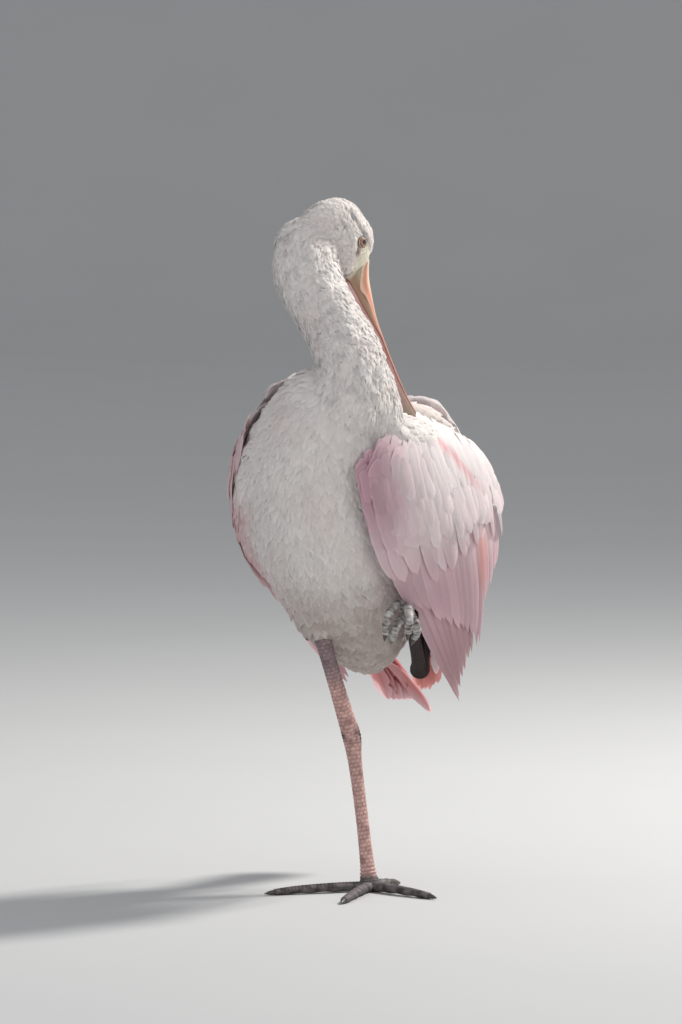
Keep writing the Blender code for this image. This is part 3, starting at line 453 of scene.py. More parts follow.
def capped(grid):
    """A grid's points with the middle of its first and last row after them."""
    ends = grid[0].mean(0, keepdims=True), grid[-1].mean(0, keepdims=True)
    return np.concatenate((grid.reshape(-1, 3), *ends))


def add_closed_grid(shape, grid, tint):
    """Adds a closed tube of rings. tint is one colour or one for each point of the grid."""
    rows, columns = grid.shape[:2]
    tint = np.asarray(tint, float)
    if tint.ndim > 1:
        tint = capped(np.broadcast_to(tint, grid.shape))
    points = capped(grid)
    shape.add(points, turned_out(points, [grid_faces(rows, columns), cap_faces(rows, columns)]), tint)


def tube_frame(route, shares, across):
    """Side and rise directions round a route."""
    heading = route.heading(shares)
    side = unit(np.array(across, float) - heading * (heading @ np.array(across, float))[..., None])
    return side, np.cross(heading, side)


def tube_grid(route, shares, sides, across, relief=0.0, flatten=1.0):
    """Rings round a route. relief is added to the radius, one number or one for each grid point."""
    side, rise = tube_frame(route, shares, across)
    turn = np.linspace(0, math.tau, sides, endpoint=False)
    radius = route.width(shares)[:, None] / 2 + relief
    radius = np.broadcast_to(radius, (len(shares), sides))
    return (route.at(shares)[:, None] + side[:, None] * (radius * np.cos(turn))[..., None]
            + rise[:, None] * (radius * flatten * np.sin(turn))[..., None])


class Value:
    """A socket in a material, so that shader maths reads as plain expressions."""

    def __init__(self, paint, socket):
        self.paint, self.socket = paint, socket

    def math(self, operation, *others):
        return self.paint.node("ShaderNodeMath", {"operation": operation}, self, *others)

    def __add__(self, other):
        return self.math("ADD", other)

    def __sub__(self, other):
        return self.math("SUBTRACT", other)

    def __rsub__(self, other):
        return self.paint.node("ShaderNodeMath", {"operation": "SUBTRACT"}, other, self)

    def __mul__(self, other):
        return self.math("MULTIPLY", other)

    __radd__ = __add__


class Paint:
    """One material and its nodes."""

    def __init__(self, name, **settings):
        self.material = bpy.data.materials.new(name)
        self.material.use_nodes = True
        self.tree = self.material.node_tree
        self.shader = self.tree.nodes["Principled BSDF"]
        for socket, value in settings.items():
            self.set(socket.replace("_", " ").title().replace("Ior", "IOR"), value)

    def feed(self, target, value):
        """Links a value into a socket, or sets the socket to a number, vector or colour."""
        if isinstance(value, Value):
            self.tree.links.new(value.socket, target)
        elif isinstance(value, tuple) and len(target.default_value) == 4:
            target.default_value = (*value, 1)
        else:
            target.default_value = value

    def set(self, socket, value):
        self.feed(self.shader.inputs[socket], value)

    def node(self, kind, settings=None, *values, output=0, **named):
        """Any node: its settings first, then its sockets by order or by name."""
        made = self.tree.nodes.new(kind)
        for key, value in (settings or {}).items():
            setattr(made, key, value)
        pairs = list(zip(made.inputs, values)) + [(made.inputs[key], value) for key, value in named.items()]
        for target, value in pairs:
            self.feed(target, value)
        return Value(self, made.outputs[output])

    def place(self):
        return self.node("ShaderNodeTexCoord", output="Object")

    def map(self, name):
        return self.node("ShaderNodeUVMap", {"uv_map": name})

    def tint(self):
        return self.node("ShaderNodeAttribute", {"attribute_name": "tint"})

    def factor(self, name):
        return self.node("ShaderNodeAttribute", {"attribute_name": name}, output="Fac")

    def noise(self, scale, detail=3.0, vector=None):
        return self.node("ShaderNodeTexNoise", None, output="Fac", Vector=vector or self.place(),
                         Scale=scale, Detail=detail)

    def cells(self, scale, feature="F1"):
        return self.node("ShaderNodeTexVoronoi", {"feature": feature}, output="Distance",
                         Vector=self.place(), Scale=scale)

    def ramp(self, value, low, high):
        """0 below low, 1 above high and smooth between them."""
        return self.node("ShaderNodeMapRange", {"interpolation_type": "SMOOTHSTEP"}, value, low, high)

    def mix(self, share, low, high, kind="MIX"):
        made = self.tree.nodes.new("ShaderNodeMix")
        made.data_type = "RGBA"
        made.blend_type = kind
        for number, value in ((0, share), (6, low), (7, high)):
            self.feed(made.inputs[number], value)
        return Value(self, made.outputs[2])

    def let_light_through(self, colour, share):
        """A share of the light falls through thin feathers."""
        thin = self.node("ShaderNodeBsdfTranslucent", None, colour)
        solid = Value(self, self.shader.outputs[0])
        both = self.node("ShaderNodeMixShader", None, share, solid, thin)
        self.tree.links.new(both.socket, self.tree.nodes["Material Output"].inputs["Surface"])

    def shaded(self, shade):
        """The piece's own tint, darkened or lightened by a value."""
        grey = self.node("ShaderNodeCombineXYZ", None, shade, shade, shade)
        return self.mix(1.0, self.tint(), grey, "MULTIPLY")

    def bump(self, height, distance, strength=1.0):
        made = self.tree.nodes.new("ShaderNodeBump")
        made.inputs["Distance"].default_value = distance
        made.inputs["Strength"].default_value = strength
        self.tree.links.new(height.socket, made.inputs["Height"])
        self.set("Normal", Value(self, made.outputs[0]))


def vane_material(name, roughness):
    """Feather vanes: fine barbs run out from the shaft, on a map in millimetres across and along."""
    paint = Paint(name, roughness=roughness, sheen_weight=0.25, sheen_roughness=0.4, specular_ior_level=0.25)
    place = paint.node("ShaderNodeSeparateXYZ", None, paint.map("vane"))
    across = Value(paint, place.socket.node.outputs[0])
    along = Value(paint, place.socket.node.outputs[1])
    slant = along - across.math("ABSOLUTE") * 1.1
    wander = paint.noise(160, 2.0)
    barbs = (slant * 5.2 + wander * 9).math("SINE") * 0.5 + 0.5
    strands = paint.noise(0.9, 2.0, paint.node("ShaderNodeCombineXYZ", None, across * 0.25, slant * 1.4, 0.0))
    colour = paint.shaded(barbs * 0.06 + strands * 0.20 + 0.84)
    paint.set("Base Color", colour)
    paint.let_light_through(colour, 0.35)
    paint.bump(barbs * 0.5 + strands, 0.12 * MM, 0.6)
    return paint.material


def down_material():
    """Small body feathers and down: soft, matt and slightly streaked."""
    paint = Paint("down", roughness=0.8, sheen_weight=0.35, sheen_roughness=0.5, specular_ior_level=0.15)
    colour = paint.shaded(paint.noise(420, 3.0) * 0.12 + paint.noise(60, 2.0) * 0.06 + 0.94)
    paint.set("Base Color", colour)
    paint.let_light_through(colour, 0.45)
    return paint.material


def skin_material():
    """Skin under the down, and the bare face with its fine wrinkles and pits."""
    paint = Paint("skin and bare face", specular_ior_level=0.4)
    bare = paint.factor("bare")
    wrinkles = paint.cells(900, feature="DISTANCE_TO_EDGE") * 2.2 + paint.noise(700, 4.0) * 0.6
    mottle = paint.ramp(paint.noise(330, 4.0), 0.35, 0.75)
    face = paint.mix(mottle * bare * 0.35, paint.tint(), FACE_MOTTLE)
    paint.set("Base Color", face)
    paint.set("Roughness", 0.85 - bare * 0.35)
    paint.bump(wrinkles * bare, 0.25 * MM, 0.7)
    return paint.material


def horn_material():
    """Bill horn: long fibres, small pits and a low gloss."""
    paint = Paint("bill horn", coat_weight=0.12, coat_roughness=0.3, specular_ior_level=0.45)
    stretched = paint.node("ShaderNodeMapping", None, paint.map("horn"), (0, 0, 0), (0, 0, 0), (1.6, 0.09, 1))
    fibres = paint.noise(1.0, 4.0, stretched)
    pits = paint.cells(1500)
    blotch = paint.noise(160, 4.0)
    paint.set("Base Color", paint.shaded(fibres * 0.35 + blotch * 0.25 + 0.68))
    paint.set("Roughness", 0.34 + blotch * 0.22)
    paint.bump(fibres + pits * 0.2, 0.12 * MM, 0.6)
    return paint.material


def scale_material():
    """Leg skin: its scales are modelled, with mottling and dust in the material."""
    paint = Paint("leg scales", specular_ior_level=0.28)
    mottle = paint.ramp(paint.noise(210, 5.0), 0.32, 0.72)
    grain = paint.noise(1600, 3.0)
    paint.set("Base Color", paint.shaded(mottle * 0.34 + grain * 0.16 + 0.60))
    paint.set("Roughness", 0.5 + grain * 0.25)
    paint.bump(grain + paint.cells(2600) * 0.4, 0.08 * MM, 0.6)
    return paint.material


def claw_material():
    paint = Paint("claw horn", coat_weight=0.1, specular_ior_level=0.5)
    fibre = paint.noise(900, 4.0)
    paint.set("Base Color", paint.mix(fibre, CLAW_DARK, CLAW_PALE))
    paint.set("Roughness", 0.32 + fibre * 0.25)
    paint.bump(fibre, 0.06 * MM, 0.5)
    return paint.material


def eye_material():
    """The eyeball: iris and pupil are tinted by the piece, under a wet coat."""
    paint = Paint("eye", roughness=0.25, coat_weight=1.0, coat_roughness=0.02, specular_ior_level=0.6)
    paint.set("Base Color", paint.tint())
    return paint.material


def lid_material():
    paint = Paint("eyelid skin", roughness=0.5, specular_ior_level=0.4)
    folds = paint.noise(1300, 4.0)
    paint.set("Base Color", paint.mix(folds * 0.5, paint.tint(), LID_FOLD))
    paint.bump(folds, 0.12 * MM, 0.7)
    return paint.material


def floor_material():
    paint = Paint("studio floor", roughness=0.7, specular_ior_level=0.2)
    grain = paint.noise(3.0, 3.0)
    paint.set("Base Color", paint.mix(grain, FLOOR_DARK, FLOOR_PALE))
    return paint.material


NECK = Route(NECK_ROUTE, NECK_WIDTHS)
HEAD_STATIONS = (
    (-72, 6, -12, 4), (-67, 17, -22, 13), (-59, 23, -27, 17.5), (-48, 26.4, -27, 19), (-36, 28, -24, 19.5),
    (-26, 25.7, -20, 18), (-16, 19.5, -16, 15), (-8, 15, -13.5, 13), (0, 12, -11.5, 12),
)
RIGHT_THIGH = Route((SHANK_TOP, (-39, -14, 208), (-41, -16, 224), (-42, -18, 262)), (24, 36, 50, 72))
LEFT_THIGH = Route(((18, -12, 262), (32, -14, 247), LEFT_KNEE), (54, 42, 20))
BODY_DEPTH, NECK_DEPTH, HEAD_DEPTH, FACE_DEPTH, THIGH_DEPTH = 4.2, 3.1, 2.0, 0.3, 3.4
SKIN_VOXEL = 1.9
SKIN_SMOOTHING = 5


def head_grid(rings, sides):
    share = np.linspace(0, 1, rings)
    along = HEAD_STATIONS[0][0] - HEAD_STATIONS[0][0] * share**1.25
    sizes = smooth_curve(HEAD_STATIONS, along)
    turn = np.linspace(0, math.tau, sides, endpoint=False)
    top, bottom, half = (sizes[:, k, None] for k in range(3))
    rise = (top + bottom) / 2 + (top - bottom) / 2 * np.sin(turn)
    return head_place(along[:, None] + 0 * rise, rise, half * np.cos(turn))


def face_edge(rise):
    """Where the feathers begin behind the bare face, along the bill's line."""
    return smooth_curve(FACE_EDGE, rise)[..., 0]


def bareness(points):
    """1 on the bare skin of the lores and round the eye, 0 under feathers."""
    along, rise, right = in_head(points)
    ahead = step(-0.9, 0.9, along - face_edge(rise))
    inside = (along > -60) & (along < 30) & (np.abs(right) < 30) & (rise < 40) & (rise > -40)
    low_crown = 1 - step(15, 19, rise + np.maximum(along + 16, 0) * 0.1)
    throat = step(-15, -11, rise)
    return np.where(inside, ahead * low_crown * throat, 0)


def closeness(distance, reach):
    return bell(np.maximum(distance, 0), reach)


NEAR_BATCH = 20000


def near_route(points, route, samples=72):
    """Nearest share on a route and the distance from its surface, in millimetres."""
    shares = np.linspace(0, 1, samples)
    centres, widths = route.at(shares), route.width(shares)
    shares_found, distances = np.empty(len(points)), np.empty(len(points))
    for start in range(0, len(points), NEAR_BATCH):
        batch = slice(start, start + NEAR_BATCH)
        gaps = np.linalg.norm(points[batch][:, None] - centres[None], axis=-1)
        nearest = gaps.argmin(1)
        shares_found[batch] = shares[nearest]
        distances[batch] = gaps.min(1) - widths[nearest] / 2
    return shares_found, distances / MM


def in_torso(points):
    """Millimetres along the body, turn round it in degrees and distance from its surface."""
    offset = (points - mm(BODY_CENTRE)) / MM
    along = offset @ BODY_AXIS
    sizes = smooth_curve(BODY_STATIONS, along)
    left, back = offset @ BODY_LEFT, offset @ BODY_BACK - sizes[..., 2]
    reach = np.hypot(left / sizes[..., 0], back / sizes[..., 1])
    past = np.maximum(along - BODY_STATIONS[-1][0], 0) + np.maximum(BODY_STATIONS[0][0] - along, 0)
    radius = np.minimum(sizes[..., 0], sizes[..., 1])
    return along, np.degrees(np.arctan2(back, left)) % 360, (reach - 1) * radius + past


def regions(points):
    """How much each point belongs to head, neck, torso, right thigh and left thigh."""
    along, rise, right = in_head(points)
    sizes = smooth_curve(HEAD_STATIONS, along)
    middle = (sizes[..., 0] + sizes[..., 1]) / 2
    head = np.hypot(rise - middle, right) - sizes[..., 2]
    head = np.maximum(head, 0) + np.maximum(along, 0) + np.maximum(-68 - along, 0) * 1.5
    share, neck = near_route(points, NECK)
    _, _, torso = in_torso(points)
    _, right_thigh = near_route(points, RIGHT_THIGH, 24)
    _, left_thigh = near_route(points, LEFT_THIGH, 24)
    # The neck's first part belongs to the chest and its last part to the head
    neck = neck + np.maximum(0.12 - share, 0) * 90 + np.maximum(share - 0.93, 0) * 60
    weights = np.stack((closeness(head, 5), closeness(neck, 8), closeness(torso, 8),
                        closeness(right_thigh, 5), closeness(left_thigh, 5)), axis=-1) + 1e-9
    weights[..., 3:] *= 0.7
    return weights / weights.sum(-1, keepdims=True), share


def coat_depth(points):
    weights = regions(points)[0]
    depth = weights @ np.array((HEAD_DEPTH, NECK_DEPTH, BODY_DEPTH, THIGH_DEPTH, THIGH_DEPTH))
    along = in_head(points)[0]
    bare = bareness(points)
    # Feathers get shorter towards the bill and the bare face
    face = step(-44, -26, along) * weights[:, 0]
    depth = blend(depth * (1 - 0.55 * face), FACE_DEPTH, bare)
    return depth + 1.5 * step(-16, -9, along) * weights[:, 0]


def lie(points, normals):
    """The way the feathers point: from the bill over the head, down the neck, over the body to the tail."""
    weights, share = regions(points)
    rise = in_head(points)[1]
    back_of_head = -HEAD_FORWARD + HEAD_UP * 0.12 * np.sign(rise + 2)[:, None]
    down_neck = -NECK.heading(np.clip(share, 0.02, 0.98))
    thigh = np.array((0.06, 0.12, -1.0))
    flow = (weights[:, :1] * back_of_head + weights[:, 1:2] * down_neck - weights[:, 2:3] * BODY_AXIS
            + weights[:, 3:4] * thigh + weights[:, 4:5] * np.array((0.7, 0.1, -0.7)))
    flow = flow - normals * (flow * normals).sum(-1, keepdims=True)
    return unit(flow)


def unwrap(points):
    """Every place of the skin laid out flat: the torso, neck, head and thighs round their own lines."""
    weights, share = regions(points)
    part = weights.argmax(-1)
    along, turn, _ = in_torso(points)
    flat = np.stack((0.02 + 0.56 * turn / 360, 0.02 + 0.46 * (along + 165) / 315), axis=-1)
    side, rise = tube_frame(NECK, share, HEAD_RIGHT)
    offset = points - NECK.at(share)
    turned = (np.arctan2((offset * rise).sum(-1), (offset * side).sum(-1)) / math.tau) % 1
    neck = np.stack((0.02 + 0.56 * turned, 0.52 + 0.46 * share), axis=-1)
    head_along, head_rise, head_right = in_head(points)
    round_head = (np.arctan2(head_rise, head_right) / math.tau) % 1
    head = np.stack((0.62 + 0.36 * round_head, 0.62 + 0.36 * (head_along + 75) / 80), axis=-1)
    flat = np.where((part == 1)[:, None], neck, flat)
    flat = np.where((part == 0)[:, None], head, flat)
    for number, route, base in ((3, RIGHT_THIGH, 0.05), (4, LEFT_THIGH, 0.32)):
        found, _ = near_route(points, route, 24)
        across, up = tube_frame(route, found, (1, 0, 0))
        out = points - route.at(found)
        spin = (np.arctan2((out * up).sum(-1), (out * across).sum(-1)) / math.tau) % 1
        thigh = np.stack((0.62 + 0.36 * spin, base + 0.24 * found), axis=-1)
        flat = np.where((part == number)[:, None], thigh, flat)
    return np.clip(flat, 0.005, 0.992)


def plumage_colour(points):
    """Colour of down and body feathers at their roots."""
    weights = regions(points)[0]
    along, turn, _ = in_torso(points)
    height = points[:, 2] / MM
    broad = ripples(points, 0.045, 3)
    fine = ripples(points, 0.012, 4)
    colour = mixed(WHITE, SHADE_WHITE, np.clip(0.20 + 0.16 * broad + 0.12 * fine, 0, 1))
    # The neck's base, breast sides and flanks are faintly pink
    flank = weights[:, 2] * step(-20, 60, np.abs(turn - 270) - 20 + fine * 8) * step(60, -40, along)
    colour = mixed(colour, BLUSH, np.clip(flank * 0.7 + 0.12 * broad, 0, 1))
    front_edge = bell(turn - 189, 11) * step(-90, -60, along) * step(72, 45, along)
    colour = mixed(colour, FRONT_EDGE_ROSE, np.clip(front_edge * weights[:, 2] * (0.9 + 0.2 * fine), 0, 1))
    # Painted shade: a dull brown darkens the belly towards the bottom
    belly = step(262, 205, height + 8 * broad) * (1 - weights[:, 0]) * (1 - weights[:, 1])
    colour = mixed(colour, BELLY_SHADE_BROWN, np.clip(belly * (0.62 + 0.2 * fine), 0, 0.8))
    # Painted shade: grey between the white tufts of the neck and in the curls of the cheek
    curl_along, curl_rise, _ = in_head(points)
    cheek = np.exp(-((curl_along + 46) / 12) ** 2 - ((curl_rise + 2) / 11) ** 2) * weights[:, 0]
    grey = weights[:, 1] * np.clip(ripples(points, 0.010, 45) - 0.25, 0, 1) * 0.35
    grey = grey + cheek * np.clip(ripples(points, 0.006, 44) - 0.1, 0, 1) * 0.55
    colour = mixed(colour, DOWN_SHADE_GREY, np.clip(grey, 0, 0.6))
    line, reach = brow(points)
    crease = bell(line + 0.4, 1.5) * reach * (0.7 + 0.5 * fine) * weights[:, 0]
    colour = mixed(colour, BROW_SHADE, np.clip(crease, 0, 0.75))
    return np.clip(colour, 0, 1)


def over_gape(along, rise, drop=4.5):
    """Millimetres over a line that runs along the gape, drop below the bill's line at its corner."""
    return rise + drop + (along + 17) * 0.05


def face_colour(points):
    """The bare face: pale lores and eye ring, a dark patch below the eye and along the gape."""
    along, rise, _ = in_head(points)
    eye_along, eye_rise = EYE_PLACE
    from_eye = np.hypot(along - eye_along, rise - eye_rise)
    fine = ripples(points, 0.004, 7)
    colour = mixed(BARE_FACE, FACE_OCHRE, np.clip(0.35 + 0.35 * fine, 0, 1))
    crescent = np.exp(-(np.hypot((along - eye_along - 4.2) / 1.4, rise - eye_rise + 6.4) / 2.9) ** 4)
    colour = mixed(colour, EYE_SHADOW, np.clip(crescent * 1.1, 0, 0.9))
    gape = closeness(np.abs(over_gape(along, rise)), 1.1) * step(-20, -14, along)
    colour = mixed(colour, GAPE_DARK, np.clip(gape, 0, 0.9))
    # Painted shade in the hollow round the eyeball, under the lids
    socket = step(4.4, 3.9, from_eye)
    return mixed(colour, EYE_HOLLOW_SHADE, socket * 0.6)


def neighbours_mean(values, edges, count):
    total = np.zeros((count, values.shape[1]))
    degree = np.zeros(count)
    for low, high in ((0, 1), (1, 0)):
        np.add.at(total, edges[:, low], values[edges[:, high]])
        np.add.at(degree, edges[:, low], 1)
    return total / np.maximum(degree, 1)[:, None]


def mesh_arrays(mesh):
    """Points, normals and edges of a mesh as arrays."""
    points = np.empty(len(mesh.vertices) * 3)
    mesh.vertices.foreach_get("co", points)
    normals = np.empty(len(mesh.vertices) * 3)
    mesh.vertices.foreach_get("normal", normals)
    edges = np.empty(len(mesh.edges) * 2, np.int32)
    mesh.edges.foreach_get("vertices", edges)
    return points.reshape(-1, 3), normals.reshape(-1, 3), edges.reshape(-1, 2)


def set_points(mesh, points):
    mesh.vertices.foreach_set("co", points.ravel())
    mesh.update()


def remeshed(shape, name, voxel):
    """The union of closed forms as one even mesh."""
    bulk = shape.build(name, None)
    bulk.parent = None
    change = bulk.modifiers.new("remesh", "REMESH")
    change.mode = "VOXEL"
    change.voxel_size = voxel * MM
    bpy.context.view_layer.update()
    seen = bulk.evaluated_get(bpy.context.evaluated_depsgraph_get())
    mesh = bpy.data.meshes.new_from_object(seen)
    bpy.data.objects.remove(bulk)
    mesh.name = name
    return mesh


def refine(mesh, test, cuts):
    """Cuts the faces whose points pass the test into four, some times over."""
    for _ in range(cuts):
        build = bmesh.new()
        build.from_mesh(mesh)
        points = np.array([vertex.co for vertex in build.verts])
        passed = test(points)
        build.verts.ensure_lookup_table()
        edges = [edge for edge in build.edges if passed[edge.verts[0].index] and passed[edge.verts[1].index]]
        bmesh.ops.subdivide_edges(build, edges=edges, cuts=1, use_grid_fill=True)
        build.to_mesh(mesh)
        build.free()


def on_face(points):
    """The points of both cheeks, from behind the eye to the root of the bill."""
    along, rise, right = in_head(points)
    beside = (np.abs(right) > 3) & (np.abs(right) < 30)
    return (along > -50) & (along < 8) & beside & (rise > -22) & (rise < 27)


def shape_face(points, normals):
    """Moves the face's points: the eye's hollow and rim, folds round it, the gape and the feathers' edge."""
    along, rise, _ = in_head(points)
    eye_along, eye_rise = EYE_PLACE
    near = on_face(points)
    from_eye = np.hypot(along - eye_along, (rise - eye_rise) / 0.9)
    hollow = -3.0 * step(4.25, 3.0, from_eye)
    rim = 0.7 * bell(from_eye - 5.3, 0.8)
    outer_fold = -0.45 * bell(from_eye - 7.2, 0.7) + 0.25 * bell(from_eye - 8.4, 0.8)
    gape = -1.0 * bell(over_gape(along, rise), 0.7) * step(-19, -15, along)
    lip = 0.4 * bell(over_gape(along, rise, 6.4), 0.9) * step(-19, -15, along)
    folds = 0.16 * np.sin(from_eye * 3.1 + ripples(points, 0.010, 21) * 1.6)
    folds = folds * step(16, 9, from_eye) * step(7, 9, from_eye)
    grain = 0.08 * ripples(points, 0.0022, 22)
    bare = bareness(points)
    edge = 0.5 * (1 - bare) * step(-2.6, -0.4, along - face_edge(rise)) * (from_eye < 16)
    move = hollow + rim + (outer_fold + folds + grain + gape + lip) * bare + edge
    return points + normals * (move * near)[:, None] * MM


def brow(points):
    """Height over the crease under the crown's feathers, and where along the head it shows."""
    along, rise, _ = in_head(points)
    line = rise - EYE_PLACE[1] - 6.0 - 0.12 * (along - EYE_PLACE[0])
    return line, step(-64, -54, along) * step(-22, -30, along)


def clumps(points):
    """Millimetres that the coat stands higher or lower: soft clumps, the cheek's curls and the brow."""
    weights = regions(points)[0]
    along, rise, _ = in_head(points)
    head, neck = weights[:, 0], weights[:, 1]
    soft = 0.9 * neck * ripples(points, 0.011, 41)
    soft = soft + (0.2 * head + 0.5 * weights[:, 2]) * ripples(points, 0.016, 42)
    cheek = np.exp(-((along + 42) / 13) ** 2 - ((rise + 4) / 11) ** 2) * head
    soft += cheek * ripples(points, 0.006, 43)
    line, reach = brow(points)
    return soft + reach * head * (1.3 * step(-1, 2.5, line) - 1.9 * bell(line, 1.3))


# Soft plumage that fills out the left shoulder, the left mantle's edge, the neck's side and the right flank
LEFT_SHOULDER = Route(((-2, -90, 343), (14, -82, 350), (36, -62, 348), (52, -34, 340)), (46, 50, 40, 20))
LEFT_BACK_EDGE = Route(((0, -6, 345), (33, 18, 363), (62, 21, 347)), (24, 30, 22))
NECK_SIDE = Route(((-6, -96, 412), (1, -94, 394), (5, -92, 374), (8, -88, 352)), (34, 38, 42, 46))
# Degrees round the body, millimetres over its solid, and widths along it
RIGHT_LINES = ((116.0, -6.0, (34, 42, 38, 22)), (143.0, -7.0, (28, 40, 38, 22)),
               (168.0, -7.0, (22, 34, 34, 22)), (191.0, -5.0, (22, 32, 32, 20)))


def body_row(along, turns, lifts):
    """Places in millimetres across the body, from degrees round it and millimetres over its solid."""
    return [tuple(torso_point(np.array(float(along)), turn, lift) / MM) for turn, lift in zip(turns, lifts)]


def right_fill(turn, lift, widths):
    return Route([body_row(along, (turn,), (lift,))[0] for along in (96, 50, 0, -40)], widths)


def make_skin(material):
    """One surface under all down and feathers, with the bare face at its front."""
    shape = Shape()
    alongs, turns = np.linspace(-163, 148.5, 120), np.linspace(0, 360, 96, endpoint=False)
    add_closed_grid(shape, torso_point(alongs[:, None] + 0 * turns, turns + 0 * alongs[:, None]), WHITE)
    add_closed_grid(shape, tube_grid(NECK, np.linspace(0, 1, 90), 64, HEAD_RIGHT), WHITE)
    add_closed_grid(shape, head_grid(60, 64), WHITE)
    for route in (RIGHT_THIGH, LEFT_THIGH, LEFT_SHOULDER, LEFT_BACK_EDGE, NECK_SIDE,
                  *(right_fill(*line) for line in RIGHT_LINES)):
        add_closed_grid(shape, tube_grid(route, np.linspace(0, 1, 30), 40, (1, 0, 0)), WHITE)
    mesh = remeshed(shape, "skin", SKIN_VOXEL)
    points, normals, edges = mesh_arrays(mesh)
    smooth_away = 1 - 0.85 * step(-50, -36, in_head(points)[0]) * regions(points)[0][:, 0]
    for _ in range(SKIN_SMOOTHING):
        mean = neighbours_mean(points, edges, len(points))
        points = blend(points, mean, smooth_away[:, None])
    set_points(mesh, points)
    points, normals, edges = mesh_arrays(mesh)
    depth = (coat_depth(points) - clumps(points))[:, None]
    for _ in range(2):
        depth = neighbours_mean(depth, edges, len(points))
    set_points(mesh, points - normals * depth * MM)
    refine(mesh, on_face, 2)
    points, normals, edges = mesh_arrays(mesh)
    set_points(mesh, shape_face(points, normals))
    points = mesh_arrays(mesh)[0]
    bare = bareness(points)
    colour = mixed(plumage_colour(points), face_colour(points), bare)
    tint = mesh.attributes.new("tint", "FLOAT_COLOR", "POINT")
    tint.data.foreach_set("color", np.column_stack((colour, np.ones(len(points)))).ravel())
    mesh.attributes.new("bare", "FLOAT", "POINT").data.foreach_set("value", bare)
    mesh.polygons.foreach_set("use_smooth", np.ones(len(mesh.polygons), bool))
    place_piece("skin", mesh, material, ("torso", "neck_lower", "neck_middle", "neck_upper", "head",
                                         "thigh_right", "thigh_left"))
    return mesh


class Ground:
    """The skin as the coat sees it: even places on it, and the nearest surface to any point."""

    def __init__(self, mesh):
        mesh.calc_loop_triangles()
        points, normals, _ = mesh_arrays(mesh)
        corners = np.empty(len(mesh.loop_triangles) * 3, np.int32)
        mesh.loop_triangles.foreach_get("vertices", corners)
        self.corners = corners.reshape(-1, 3)
        self.points, self.normals = points, normals
        self.tree = BVHTree.FromPolygons(points.tolist(), self.corners.tolist())
        a, b, c = (points[self.corners[:, k]] for k in range(3))
        self.areas = np.linalg.norm(np.cross(b - a, c - a), axis=-1) / 2

    def scatter(self, test, spacing, seed):
        """Roots about one spacing apart, in metres, on the faces whose middles pass the test."""
        draw = np.random.default_rng(seed)
        middles = self.points[self.corners].mean(1)
        areas = np.where(test(middles), self.areas, 0)
        count = int(areas.sum() / spacing**2 * 6)
        chosen = draw.choice(len(areas), size=count, p=areas / areas.sum())
        a, b = np.sqrt(draw.random(count)), draw.random(count)
        weights = np.stack((1 - a, a * (1 - b), a * b), axis=-1)
        places = (self.points[self.corners[chosen]] * weights[..., None]).sum(1)
        cells = np.floor(places / spacing).astype(np.int64)
        _, kept = np.unique(cells, axis=0, return_index=True)
        kept = np.sort(kept)
        places = places[kept]
        normals = unit((self.normals[self.corners[chosen[kept]]] * weights[kept][..., None]).sum(1))
        return places, normals

    def follow(self, points):
        """The nearest places on the skin and the normals there."""
        found, normals = np.empty_like(points), np.empty_like(points)
        for n, point in enumerate(points.tolist()):
            place, _, face, _ = self.tree.find_nearest(point)
            found[n] = place
            normals[n] = self.normals[self.corners[face]].mean(0)
        return found, unit(normals)


LEAF_ROWS, LEAF_COLUMNS = 5, 5
# How full a leaf's outline is, its width at the tip, and how far its light rolls off to the sides
LEAF_ROUND, LEAF_TIP, LEAF_BEND = 0.6, 0.35, 0.30
PIECE_LEAVES = 6000


